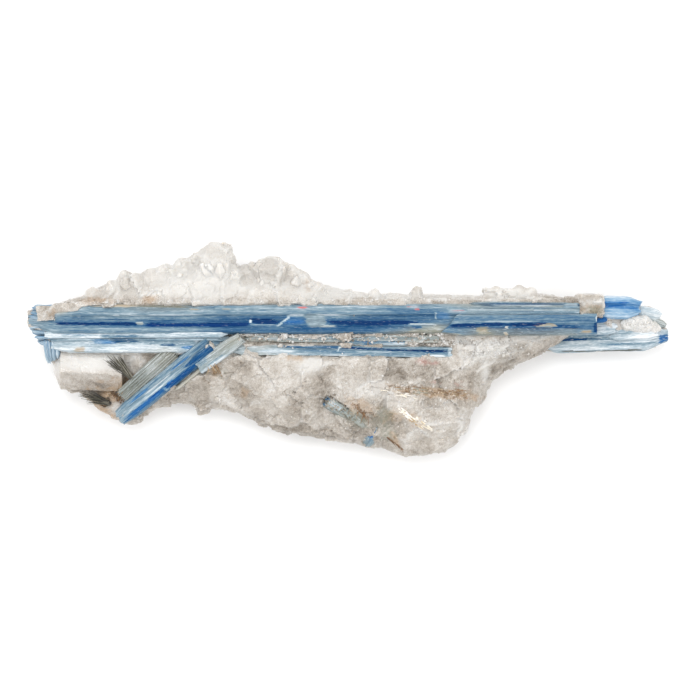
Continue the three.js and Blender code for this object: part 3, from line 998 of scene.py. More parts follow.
    def make(self) -> bpy.types.Object:
        """Builds the mass and dresses it.

        Returns:
            The mass's object.
        """
        finish = QuartzFinish("milky_quartz", transmission=0.2, roughness=0.34, glow_reach=1.2, relief=0.4)
        material = finish.material()
        mesh = self.broken(self._filled(), material)
        points = points_of(mesh)
        for dent in DENTS:
            points[:, 2] -= dent.strength(points) * soft_step(9, 13, points[:, 2])
        mesh.vertices.foreach_set("co", (points * MM).ravel())
        return Piece("quartz_mass", "quartz", material, ("quartz_matrix",)).from_mesh(mesh)


@dataclass(frozen=True)
class Filling:
    """A block of quartz that closes a gap between blades, before the mass is broken."""

    start: tuple[float, float, float]
    end: tuple[float, float, float]
    width: float
    height: float

    def matrix(self) -> Matrix:
        """Where a unit cube goes to be this block.

        Returns:
            The cube's matrix, in metres.
        """
        start, end = Vector(self.start) * MM, Vector(self.end) * MM
        along = end - start
        turn = along.to_track_quat("X", "Z").to_matrix().to_4x4()
        size = Matrix.Diagonal((along.length, self.width * MM, self.height * MM, 1.0))
        return Matrix.Translation((start + end) / 2) @ turn @ size


FILLINGS = (
    Filling((-35, 3.5, 16.0), (32, 3.1, 16.6), 3.2, 6.0),
    Filling((12, -11.6, 16.4), (39, -14.8, 14.8), 3.0, 4.6),
    Filling((-8.4, -15.2, 14.4), (0.4, -20.4, 13.2), 4.4, 4.6),
    Filling((28, 3.2, 18.6), (62, 4.2, 17.6), 3.0, 6.0),
    Filling((-70, 14.9, 19.0), (70, 14.9, 19.2), 2.2, 6.0),
    Filling((41, 16.6, 16.6), (57.4, 16.8, 16.2), 4.4, 5.0),
    Filling((-96.4, 11.0, 20.4), (-90.2, 11.4, 20.6), 5.2, 6.0),
    Filling((-91, 12.8, 20.4), (-83, 13.2, 20.4), 3.4, 6.0),
    Filling((-84, 14.0, 20.2), (-72, 14.4, 20.2), 2.0, 5.8),
    Filling((70.2, 13.9, 17.4), (78.4, 13.9, 16.8), 6.2, 7.0),
    Filling((76, 9.0, 12.4), (88, 8.6, 11.4), 6.0, 4.0),
    Filling((30.6, -0.6, 18.0), (38, -1.0, 16.8), 4.8, 6.0),
    Filling((-33, 1.8, 17.6), (31, 1.2, 18.0), 1.2, 5.0),
)


def dressed_quartz(mesh: bpy.types.Mesh) -> bpy.types.Mesh:
    """Holds a quartz mesh inside the part's box, stores its stains and shades it flat.

    Args:
        mesh: the mesh, in metres.

    Returns:
        The same mesh.
    """
    kept = keep_in_box(points_of(mesh))
    mesh.vertices.foreach_set("co", (kept * MM).ravel())
    store(mesh, amounts(kept))
    mesh.polygons.foreach_set("use_smooth", [False] * len(mesh.polygons))
    mesh.update()
    return mesh


def keep_in_box(points: np.ndarray, margin: float = 0.02) -> np.ndarray:
    """Points held inside the part's own box, in millimetres."""
    low, high = (np.array(corner) / MM for corner in cad_box)
    return np.clip(points, low + [margin, margin, 0], high - margin)


@dataclass(frozen=True)
class QuartzPoint:
    """A six-sided quartz crystal with a blunt pointed end."""

    tip: tuple[float, float, float]
    foot: tuple[float, float, float]
    radius: float
    point: float
    spin: float = 0.0

    def shape(self, noise: np.random.Generator) -> tuple[np.ndarray, list]:
        """The crystal's corners and faces.

        Args:
            noise: where the unevenness of its faces comes from.

        Returns:
            Corners in millimetres, and the corner numbers of each face.
        """
        top, base = Vector(self.tip), Vector(self.foot)
        along = (top - base).normalized()
        turn = Vector((0, 0, 1)).rotation_difference(along).to_matrix()
        corners, faces = [], []
        reach = [noise.uniform(0.92, 1.08) for _ in range(6)]
        ends = [noise.uniform(-0.3, 0.3) * self.point for _ in range(6)]
        levels = [(base, 0.92, 0.0), (top - along * self.point, 1.0, 1.0), (top, 0.24, 0.3)]
        for middle, size, uneven in levels:
            for side in range(6):
                angle = math.radians(self.spin + side * 60)
                arm = Vector((math.cos(angle), math.sin(angle), 0)) * self.radius * size * reach[side]
                corners.append(turn @ arm + middle + along * ends[side] * uneven)
        for level in range(2):
            for side in range(6):
                a, b = level * 6 + side, level * 6 + (side + 1) % 6
                faces.append([a, b, b + 6, a + 6])
        faces.append(list(range(5, -1, -1)))
        faces.append(list(range(12, 18)))
        return np.array(corners), faces


RIDGE_CRYSTALS = (
    QuartzPoint((-70.4, 24.6, 17), (-68, 15, 12), 3.6, 3.4, 10),
    QuartzPoint((-74.6, 21.6, 16), (-72, 14, 13), 2.8, 2.2),
    QuartzPoint((-66, 23.4, 20), (-66, 15, 14), 3.0, 2, 25),
    QuartzPoint((-62, 25.3, 18), (-60, 16, 13), 3.6, 2),
    QuartzPoint((-57.6, 26.8, 20), (-56, 18, 13), 3.2, 1.8, 40),
    QuartzPoint((-52.6, 29, 19), (-50.6, 20, 13), 3.0, 1.6),
    QuartzPoint((-48.6, 30.1, 17), (-47, 20, 13), 2.8, 1.4, 15),
    QuartzPoint((-47, 24.6, 22.4), (-44, 16, 14), 3.6, 2.4, 35),
    QuartzPoint((-41.0, 31.8, 21), (-40, 17, 14), 6.8, 3),
    QuartzPoint((-37.2, 32.8, 18), (-38, 25, 14), 2.0, 1.6),
    QuartzPoint((-35, 25.4, 21.6), (-36, 16, 14), 3.4, 2.2, 50),
    QuartzPoint((-32, 26.6, 18), (-32.4, 17, 13), 3.2, 1.6),
    QuartzPoint((-25, 28.7, 20), (-24.4, 15, 14), 5.8, 2.2),
    QuartzPoint((-18.2, 26.4, 18), (-19, 16, 13), 3.4, 2),
    QuartzPoint((-14.6, 24.2, 17), (-15.6, 14, 13), 3.2, 1.6, 20),
    QuartzPoint((-9.6, 21.6, 17), (-11, 14, 13), 2.8, 1.6),
    QuartzPoint((-80, 19.0, 17), (-79, 13, 13), 3.0, 1.6, 30),
    QuartzPoint((-46.6, -19.9, 8), (-46.4, -10, 12), 3.4, 2.2),
    QuartzPoint((-41.6, -18.4, 7), (-41, -10, 11), 3.0, 1.6),
)


@dataclass
class QuartzPoints:
    """The crystals that keep clear, sharp faces."""

    crystals: tuple[QuartzPoint, ...] = (
        QuartzPoint((22.0, 19.4, 18.4), (19.6, 13, 15), 1.7, 2.0),
        QuartzPoint((-92.4, -5.0, 11.4), (-70.4, -6.4, 11.6), 7.3, 3.0, 45),
        QuartzPoint((-27.8, 26.8, 21.6), (-26.6, 18, 15), 2.4, 1.8, 12),
        QuartzPoint((-69.4, 22.4, 19.4), (-67.8, 14, 13), 2.4, 2.2, 20),
        QuartzPoint((-16.6, 22.8, 19.4), (-17, 14, 13), 2.2, 1.6, 44),
    )
    bevel: float = 0.12
    longest_edge: float = 1.5
    seed: int = 11

    def build(self) -> bpy.types.Mesh:
        """All the crystals in one mesh, with worn edges.

        Returns:
            The mesh, with its stains stored.
        """
        noise = np.random.default_rng(self.seed)
        corners, faces = merge_shapes([crystal.shape(noise) for crystal in self.crystals])
        mesh = mesh_from(keep_in_box(corners), faces)
        worn = bmesh.new()
        worn.from_mesh(mesh)
        bmesh.ops.recalc_face_normals(worn, faces=worn.faces)
        bmesh.ops.bevel(worn, geom=worn.edges[:], offset=self.bevel * MM, segments=1, affect="EDGES",
                        clamp_overlap=True)
        bmesh.ops.triangulate(worn, faces=worn.faces)
        long_edges = [edge for edge in worn.edges if edge.calc_length() > self.longest_edge * MM]
        bmesh.ops.subdivide_edges(worn, edges=long_edges, cuts=2)
        worn.to_mesh(mesh)
        worn.free()
        store(mesh, amounts(points_of(mesh)))
        return mesh

    def make(self) -> None:
        """Builds and dresses the crystals."""
        finish = QuartzFinish("clear_quartz", transmission=0.25, roughness=0.16, glow=0.7, glow_reach=1.0,
                              depth=0.22)
        Piece("quartz_points", "quartz", finish.material()).from_mesh(self.build())


def merge_shapes(shapes: list[tuple[np.ndarray, list]]) -> tuple[np.ndarray, list]:
    """Several shapes as one.

    Args:
        shapes: each shape's points and the point numbers of its faces.

    Returns:
        All the points, and the point numbers of all the faces.
    """
    faces, count = [], 0
    for corners, sides in shapes:
        faces += [[corner + count for corner in side] for side in sides]
        count += len(corners)
    return np.concatenate([corners for corners, _ in shapes]), faces


class Outline(Enum):
    """Half sections of a blade across its width and depth, from -1 to 1."""

    PLANK = ((-1, -0.62), (-0.82, -1), (0.82, -1), (1, -0.6), (1, 0.5), (0.84, 0.8), (0.3, 1), (0.12, 0.8),
             (-0.35, 0.86), (-0.88, 0.74), (-1, 0.42))
    SPLINTER = ((-1, -0.4), (-0.5, -1), (0.6, -1), (1, -0.3), (0.8, 0.6), (0.1, 1), (-0.7, 0.7))
    LATH = ((-1, -1), (1, -1), (1, 0.55), (0.9, 0.95), (-0.9, 1), (-1, 0.6))


@dataclass(frozen=True)
class Colouring:
    """How tone and earthiness run across a blade, from its +Y edge at 0 to the other edge at 1."""

    along: float
    tones: tuple[tuple[float, float], ...]
    earths: tuple[tuple[float, float], ...] = ((0.0, 0.0), (1.0, 0.0))


@dataclass(frozen=True)
class Patch:
    """A place on a blade that differs from what is around it, with a ragged edge.

    It runs from start to end along the blade in millimetres and from low to high across it, from 0 at the
    +Y edge to 1. Lift raises it, slant moves its far side along and ragged roughens its ends, all in
    millimetres. The rest say how much of each colour it takes.
    """

    start: float
    end: float
    low: float
    high: float
    tone: float | None = None
    earth: float = 0.0
    ochre: float = 0.0
    coral: float = 0.0
    vivid: float = 0.0
    lift: float = 0.0
    slant: float = 0.0
    ragged: float = 0.9


@dataclass
class Blade:
    """One kyanite blade: a lofted bar with laths, cleavage steps, hairlines and splintered ends.

    Places and sizes are in millimetres. The shares are the ends' sizes against the middle's, the slant
    cuts the start askew, and vivid runs from steel blue at 0 to deep blue at 1. The blurs soften the sides
    of a patch, as a share of the width, and its ends.
    """

    start: tuple[float, float, float]
    end: tuple[float, float, float]
    width: float
    depth: float
    start_share: float
    end_share: float
    colouring: tuple[Colouring, ...]
    outline: Outline = Outline.PLANK
    patches: tuple[Patch, ...] = ()
    seed: int = 1
    step_along: float = 0.5
    step_across: float = 0.28
    lath: float = 1.1
    relief: float = 0.24
    splinter: float = 1.2
    start_slant: float = 0.0
    vivid: float = 0.0
    side_blur: float = 0.11
    end_blur: float = 2.2

    def _ring(self) -> tuple[np.ndarray, np.ndarray]:
        """The section's outline as even steps.

        Returns:
            Its points in millimetres, and how far along the outline each lies.
        """
        corners = np.array(self.outline.value, float) * [self.width / 2, self.depth / 2]
        closed = np.vstack([corners, corners[:1]])
        lengths = np.concatenate([[0], np.cumsum(np.linalg.norm(np.diff(closed, axis=0), axis=1))])
        count = max(12, round(lengths[-1] / self.step_across))
        arc = np.linspace(0, lengths[-1], count, endpoint=False)
        ring = np.column_stack([np.interp(arc, lengths, closed[:, axis]) for axis in (0, 1)])
        return ring, arc

    def _relief(self, noise: ValueNoise, u: np.ndarray, arc: np.ndarray) -> np.ndarray:
        """How far the skin lies out of the plain bar, with its laths, their breaks and hairlines.

        Args:
            noise: the blade's own noise.
            u: how far along the blade each point lies.
            arc: how far round it each point lies.

        Returns:
            The distance in millimetres at each point.
        """
        lath = arc / self.lath + 0.4 * noise.at(u / 46, arc / 9) + 0.5
        shelf = noise.step(lath, 7.5)
        broken = noise.step(lath, u / 17 + 5 * noise.step(lath, 3.5), 9.5)
        hairs = 0.22 * noise.at(u / 16, arc / 0.34, 4.5) + 0.4 * noise.at(u / 34, arc / 1.0, 2.5)
        return self.relief * (0.6 * shelf + 0.6 * broken + hairs - 0.7)

    def _patch_mask(self, patch: Patch, noise: ValueNoise, u: np.ndarray, v: np.ndarray,
                    arc: np.ndarray) -> np.ndarray:
        """Where a patch lies, with ragged ends and soft sides.

        Args:
            patch: the patch.
            noise: the blade's own noise.
            u: how far along the blade each point lies.
            v: how far across it each point lies, from 0 to 1.
            arc: how far round it each point lies.

        Returns:
            1 inside the patch, 0 outside.
        """
        ragged = patch.ragged * (noise.at(arc / 0.5, u / 5, 1.5) + 0.6 * noise.at(arc / 0.2, u / 2, 6.5))
        near, far = patch.start + patch.slant * v + ragged, patch.end + patch.slant * v + ragged
        side = min(self.side_blur, (patch.high - patch.low) / 2)
        fade = min(self.end_blur, (patch.end - patch.start) / 4)
        drift = v + 0.02 * noise.at(u / 6, v * 8, 4.5)
        upper = soft_step(patch.low - side, patch.low + side, drift)
        lower = soft_step(patch.high + side, patch.high - side, drift)
        return upper * lower * soft_step(-fade, fade, u - near) * soft_step(-fade, fade, far - u)

    def _amounts(self, noise: ValueNoise, u: np.ndarray, v: np.ndarray,
                 masks: list[tuple[Patch, np.ndarray]]) -> dict[str, np.ndarray]:
        """What the finish reads: the blade's own colouring, and its patches as a cover.

        Args:
            noise: the blade's own noise.
            u: how far along the blade each point lies.
            v: how far across it each point lies, from 0 to 1.
            masks: each patch with its mask.

        Returns:
            One number for each point, under each name.
        """
        stations = [colouring.along for colouring in self.colouring]
        drift = v + 0.035 * noise.at(u / 30, v * 3, 8.5) + 0.02 * noise.at(u / 7, v * 9, 3.5)
        place = np.interp(u, stations, np.arange(len(stations)))
        below = np.minimum(place.astype(int), len(stations) - 1)
        above = np.minimum(below + 1, len(stations) - 1)
        spots = np.indices(u.shape)
        found = {name: np.zeros_like(u) for name in ("cover", "ochre", "coral")}
        for name, rows in (("tone", "tones"), ("earth", "earths")):
            stacked = np.stack([np.interp(drift, *zip(*getattr(row, rows))) for row in self.colouring])
            low, high = stacked[(below, *spots)], stacked[(above, *spots)]
            found[name] = low + (high - low) * (place - below)
            found[f"cover_{name}"] = found[name].copy()
        found["vivid"] = np.full_like(u, self.vivid)
        for patch, mask in masks:
            here = mask > found["cover"]
            if patch.tone is not None:
                found["cover_tone"][here] = patch.tone
            found["cover_earth"][here] = patch.earth
            shares = {"cover": 1.0, "ochre": patch.ochre, "coral": patch.coral, "vivid": patch.vivid}
            for name, amount in shares.items():
                found[name] = np.maximum(found[name], amount * mask)
        return found

    def shape(self) -> "BladeShape":
        """Builds the blade's skin.

        Returns:
            The skin's points, and what the finish reads at them.
        """
        noise = ValueNoise(self.seed)
        start, end = Vector(self.start), Vector(self.end)
        along = (end - start).normalized()
        across = Vector((-along.y, along.x, 0)).normalized()
        upward = along.cross(across)
        length = (end - start).length
        ring, arc = self._ring()
        turned = np.roll(ring, -1, axis=0) - np.roll(ring, 1, axis=0)
        outward = np.column_stack([turned[:, 1], -turned[:, 0]])
        outward /= np.linalg.norm(outward, axis=1)[:, None]
        count = max(8, round(length / self.step_along) + 1)
        cuts = [self.splinter * (0.5 + 0.5 * noise.step(arc / self.lath, row)) for row in (11.5, 13.5)]
        cuts[0] = cuts[0] + self.start_slant * (0.5 + ring[:, 0] / self.width)
        u = cuts[0] + np.linspace(0, 1, count)[:, None] * (length - cuts[0] - cuts[1])
        arcs = np.broadcast_to(arc, u.shape)
        taper = min(0.3, self.width / length)
        size = self.start_share + (1 - self.start_share) * soft_step(0, taper, u / length)
        size = size * (self.end_share + (1 - self.end_share) * soft_step(0, taper, 1 - u / length))
        sway = 0.03 * noise.at(u / 22, 5.5)
        x, z = ring[:, 0] * (size + sway), ring[:, 1] * (size - sway)
        v = np.clip(0.5 - x / self.width, 0, 1)
        top_side = np.clip(z / self.depth * 4, 0, 1)
        masks = [(patch, self._patch_mask(patch, noise, u, v, arcs) * top_side) for patch in self.patches]
        raised = self._relief(noise, u, arcs)
        x = x + outward[:, 0] * raised
        z = z + outward[:, 1] * raised + sum((patch.lift * mask for patch, mask in masks), np.zeros_like(u))
        axes = [np.array(axis) for axis in (along, across, upward)]
        points = np.array(start) + sum(part[..., None] * axis for part, axis in zip((u, x, z), axes))
        return BladeShape(points, u, arc, self._amounts(noise, u, v, masks), self.seed)


@dataclass
class BladeShape:
    """The skin of a blade as rows of points, with what its finish reads.

    The map shift, times the seed, keeps each blade's streaks apart from the others'.
    """

    points: np.ndarray
    along: np.ndarray
    arc: np.ndarray
    found: dict[str, np.ndarray]
    seed: int
    map_shift: float = 60.0

    def faces(self) -> tuple[np.ndarray, list, list]:
        """The skin, closed at both ends.

        Returns:
            Points, faces, and the place of each face corner in the blade's own map.
        """
        rows, sides = self.along.shape
        points = self.points.reshape(-1, 3)
        ends = [self.points[row].mean(axis=0) for row in (0, -1)]
        points = np.vstack([points, *ends])
        shift = self.map_shift * self.seed
        arcs = np.append(self.arc, self.arc[-1] + self.arc[1])
        row, side = (index.ravel() for index in np.mgrid[0:rows - 1, 0:sides])
        after = (side + 1) % sides
        corners = ((row, side), (row, after), (row + 1, after), (row + 1, side))
        faces = np.column_stack([at * sides + column for at, column in corners]).tolist()
        corner_u = np.column_stack([self.along[at, column] for at, column in corners])
        corner_v = np.column_stack([arcs[side], arcs[side + 1], arcs[side + 1], arcs[side]])
        places = np.stack([corner_u + shift, corner_v], axis=-1).reshape(-1, 2).tolist()
        middle = rows * sides
        for end, at in ((0, 0), (1, rows - 1)):
            for s in range(sides):
                a, b = at * sides + s, at * sides + (s + 1) % sides
                faces.append([middle + end, b, a] if end == 0 else [middle + end, a, b])
                spread = [s + 0.5, s + 1, s] if end == 0 else [s + 0.5, s, s + 1]
                places += [[shift + 3 * end, self.arc[1] * value] for value in spread]
        return points, faces, places

    def point_amounts(self) -> dict[str, np.ndarray]:
        """The amounts at every point, the two end points included."""
        return {name: np.concatenate([values.ravel(), [values[0].mean(), values[-1].mean()]])
                for name, values in self.found.items()}


@dataclass
class BladeCluster:
    """Blades and laths that make one piece of the specimen."""

    name: str
    slot: str
    node: str
    blades: tuple[Blade, ...]

    def build(self) -> bpy.types.Mesh:
        """All the blades of the piece in one mesh.

        Returns:
            The mesh, with its own map.
        """
        shapes = [blade.shape() for blade in self.blades]
        skins = [shape.faces() for shape in shapes]
        points, faces = merge_shapes([skin[:2] for skin in skins])
        found = [shape.point_amounts() for shape in shapes]
        joined = {name: np.concatenate([row[name] for row in found]) for name in found[0]}
        mesh = mesh_from(keep_in_box(points), faces, joined)
        places = [place for skin in skins for place in skin[2]]
        mesh.uv_layers.new(name="blade").data.foreach_set("uv", np.array(places, np.float32).ravel())
        return mesh

    def make(self, finish: bpy.types.Material) -> bpy.types.Object:
        """Builds and dresses the piece."""
        return Piece(self.name, self.slot, finish, (self.node,)).from_mesh(self.build())


def run_of(along: float, tones: list[float], earths: list[float] | None = None) -> Colouring:
    """A colouring whose values are spread evenly across the blade.

    Args:
        along: how far along the blade it holds.
        tones: the tones, from the +Y edge to the other.
        earths: how earthy each is, or nothing for a blade with no earth.

    Returns:
        The colouring.
    """
    across = [np.linspace(0, 1, len(values)).tolist() for values in (tones, earths or [0.0, 0.0])]
    return Colouring(along, tuple(zip(across[0], tones)), tuple(zip(across[1], earths or [0.0, 0.0])))


def rows(table: str) -> tuple[Colouring, ...]:
    """Reads a blade's colouring.

    Args:
        table: a line for each station: how far along the blade, then the tones across it, and after a
            bar the earths across it, both in hundredths.

    Returns:
        The colouring at each station.
    """
    found = []
    for line in table.strip().splitlines():
        along, values = line.split(":")
        spreads = [[int(value) / 100 for value in part.split()] for part in values.split("|")]
        found.append(run_of(float(along), *spreads))
    return tuple(found)


def left_tip_laths() -> tuple[Blade, ...]:
    """The cluster of short pale laths at the left end of the main blade.

    Returns:
        The laths, from the +Y side down.
    """
    noise = np.random.default_rng(5)
    laths = []
    for number in range(36):
        share = number / 35
        y = 13.4 - 11.4 * share + noise.uniform(-0.3, 0.3)
        reach = 4.4 - 3.2 * abs(share - 0.42) ** 1.3 * 2
        x = -95.4 - reach + noise.uniform(0, 0.5)
        z = 20.6 - 4.6 * share + noise.uniform(-1.8, 0.8)
        lean = noise.uniform(-0.9, 0.9)
        tones = [0.24 + noise.uniform(-0.14, 0.2) for _ in range(3)]
        end = (x + noise.uniform(4, 8), y + lean, z + noise.uniform(0.2, 1.4))
        width, depth = noise.uniform(0.8, 1.5), noise.uniform(1.6, 3.0)
        laths.append(Blade((x, y, z), end, width, depth, 0.45, 0.7, (run_of(0, tones),), Outline.SPLINTER,
                           seed=40 + number, lath=0.5, relief=0.12, splinter=0.5, vivid=0.5))
    return tuple(laths)


MAIN_BLADE = BladeCluster("kyanite_main_blade", "kyanite_blue", "main_blade", (
    Blade((-99.4, 9.5, 18.4), (70.8, 9.7, 19.4), 9.6, 9, 0.4, 0.98, rows("""
        0: 30 30 34 30 30 30
        10: 20 20 20 25 30 40 50 40 50 36 30 | 100 100 100 80 30 0 0 0 0 0 0
        15: 30 30 36 42 44 50 70 50 56 50 40
        22: 40 42 40 34 34 38 62 56 42 42 36 | 40 30 10 0 0 0 0 0 0 10 20
        35: 45 48 40 34 36 42 66 60 42 42 40 | 60 45 36 20 0 0 0 0 10 10 20
        50: 40 46 40 34 38 47 72 66 46 44 44 | 50 40 40 20 0 0 0 0 0 0 10
        62: 36 40 40 48 54 64 82 70 64 66 60
        72: 26 26 30 40 54 76 80 56 62 66 60
        84: 40 34 34 42 42 70 75 68 78 68 56
        95: 30 30 30 38 34 50 75 76 76 68 50
        104: 28 24 32 42 48 62 85 80 75 70 50 | 0 0 0 0 0 0 0 0 0 10 20
        116: 36 36 44 58 64 66 80 70 60 50 40 | 10 0 0 0 0 0 0 20 30 50 60
        126: 30 40 50 60 62 60 60 50 30 30 30 | 40 20 0 0 0 0 30 60 70 70 70
        136: 20 44 36 40 50 50 50 | 60 40 30 0 0 0 0
        156: 20 54 42 40 50 50 50 | 50 30 20 0 0 0 0
        171: 20 46 40 34 50 50 50 | 50 40 20 0 0 0 0
    """), seed=3, lath=1.25, relief=0.28, splinter=0.5, patches=(
        Patch(9.5, 34, 0.61, 0.7, 1.1, ragged=1.4),
        Patch(36.4, 69, 0.63, 0.74, 1.14, ragged=0.8, vivid=0.3),
        Patch(34, 68, 0.54, 0.59, 0.7, ragged=2.6), Patch(20, 33, 0.5, 0.53, 0.72, ragged=2.6),
        Patch(44, 58, 0.26, 0.28, 0.24, ragged=3.0), Patch(60, 76, 0.3, 0.32, 0.28, ragged=3.0),
        Patch(12, 30, 0.8, 0.83, 0.3, ragged=3.0), Patch(96, 110, 0.26, 0.28, 0.3, ragged=3.0),
        Patch(69.2, 77, 0.5, 0.66, 1.1), Patch(69.2, 77, 0.68, 0.71, 0.14),
        Patch(92, 121, 0.57, 0.7, 1.1, ragged=2.4),
        Patch(33.7, 36.2, 0.56, 0.68, 0.3, earth=0.5, lift=0.08, ragged=0.3),
        Patch(26, 29, 0.36, 0.42, 0.1), Patch(38.5, 53, 0.34, 0.4, 0.14, ragged=2.2),
        Patch(50, 53, 0.15, 0.22, 0.3, earth=0.8, ochre=0.5),
        Patch(60, 63, 0.16, 0.22, 0.3, earth=0.6, ochre=0.3),
        Patch(68.4, 69.5, 0.52, 0.64, 0.0, lift=0.2, ragged=0.1),
        Patch(20, 34, 0.0, 0.1, 0.2, earth=0.8, ochre=0.6, ragged=2.2),
        Patch(34, 48, 0.0, 0.12, 0.5, earth=0.8, ragged=2.4),
        Patch(85.4, 86.6, 0.4, 0.76, 0.14, slant=-12, lift=0.12, ragged=0.2),
        Patch(80.6, 85.4, 0.36, 0.44, 0.14),
        Patch(79.4, 85.4, 0.46, 0.68, 0.66, vivid=0.6, lift=-0.06, ragged=0.3),
        Patch(84.8, 91, 0.36, 0.76, 0.4, earth=0.34, lift=0.1, ragged=0.6, slant=1.5),
        Patch(90, 95, 0.68, 0.77, 0.22, earth=0.4), Patch(88, 97, 0.37, 0.42, 0.12, ragged=1.6),
        Patch(83, 86.4, 0.1, 0.17, 0.3, coral=1.0, ragged=0.4),
        Patch(86.4, 89.4, 0.12, 0.16, 0.4, coral=0.35),
        Patch(116.5, 121, 0.06, 0.16, 0.3, coral=0.6, ragged=1.4),
        Patch(119, 120.8, 0.17, 0.24, 0.4, coral=1.0, ragged=0.3),
        Patch(128.8, 134.6, 0.18, 0.3, 0.3, coral=0.5, ragged=1.0),
        Patch(125.4, 126.1, 0.28, 0.52, 0.2, ragged=0.15), Patch(126.2, 130, 0.3, 0.5, 0.52, vivid=0.6),
        Patch(116, 127, 0.64, 0.7, 0.2, earth=0.3, ragged=2.0), Patch(118.6, 121.4, 0.7, 0.8, 0.74),
        Patch(117.5, 129, 0.86, 1.0, 0.4, earth=0.75, ragged=2.0, lift=0.06),
        Patch(136, 170, 0.2, 0.25, 0.24, earth=0.3, ragged=3.0),
        Patch(139, 170, 0.05, 0.09, 0.8, ragged=3.0),
    )),
    Blade((27.8, 7.6, 22.3), (75.8, 7.9, 22.5), 6.9, 4.6, 0.7, 0.97, rows("""
        0: 30 30 30 35 40 40 50 45 40 40 30
        5: 30 44 50 46 40 70 70 52 56 50 40 | 0 0 0 0 0 0 20 30 30 30 50
        14: 36 46 47 47 42 70 75 54 54 50 45 | 0 0 0 0 10 0 30 60 70 70 80
        20: 40 50 49 46 38 70 80 64 64 60 50 | 0 0 0 0 10 0 30 55 55 55 70
        30: 36 54 55 54 46 70 80 76 66 60 55 | 0 0 0 0 0 10 30 45 55 55 60
        40: 36 52 56 60 48 50 70 52 50 45 40 | 0 0 0 0 10 30 30 45 45 50 60
        48: 36 52 56 56 48 60 70 60 50 45 40
    """), Outline.LATH, seed=8, lath=1.0, relief=0.24, splinter=0.3, start_slant=5.0, patches=(
        Patch(3, 12, 0.45, 0.57, 1.15, ragged=1.6), Patch(12, 19.6, 0.42, 0.54, 1.0, ragged=1.2),
        Patch(20.4, 32, 0.42, 0.6, 1.05, ragged=2.2), Patch(13, 29, 0.33, 0.38, 0.12, ragged=2.4),
        Patch(28.6, 35, 0.45, 0.62, 0.4, earth=0.7, ochre=0.5, ragged=1.6),
        Patch(33, 43, 0.52, 0.64, 0.9, ragged=2.0),
        Patch(11, 14.8, 0.6, 0.9, 0.5, earth=0.9, ochre=0.4, ragged=1.2),
        Patch(18.4, 19.6, 0.8, 1.0, 0.24, earth=0.6, ochre=0.6, lift=0.1, slant=1, ragged=0.8),
        Patch(19.6, 20.8, 0.54, 0.68, 0.2, earth=0.4, ochre=0.5, ragged=0.8),
        Patch(46.9, 48.4, 0.42, 0.86, 0.95, ragged=0.1), Patch(47.4, 48.4, 0.1, 0.38, 0.1, ragged=0.1),
        Patch(42.5, 46, 0.75, 0.9, 0.4, earth=0.6, ochre=0.6, ragged=1.2), Patch(1, 9, 0.0, 0.07, 0.2),
        Patch(0, 6, 0.88, 1.0, 0.3, earth=0.7),
    )),
    *left_tip_laths(),
))

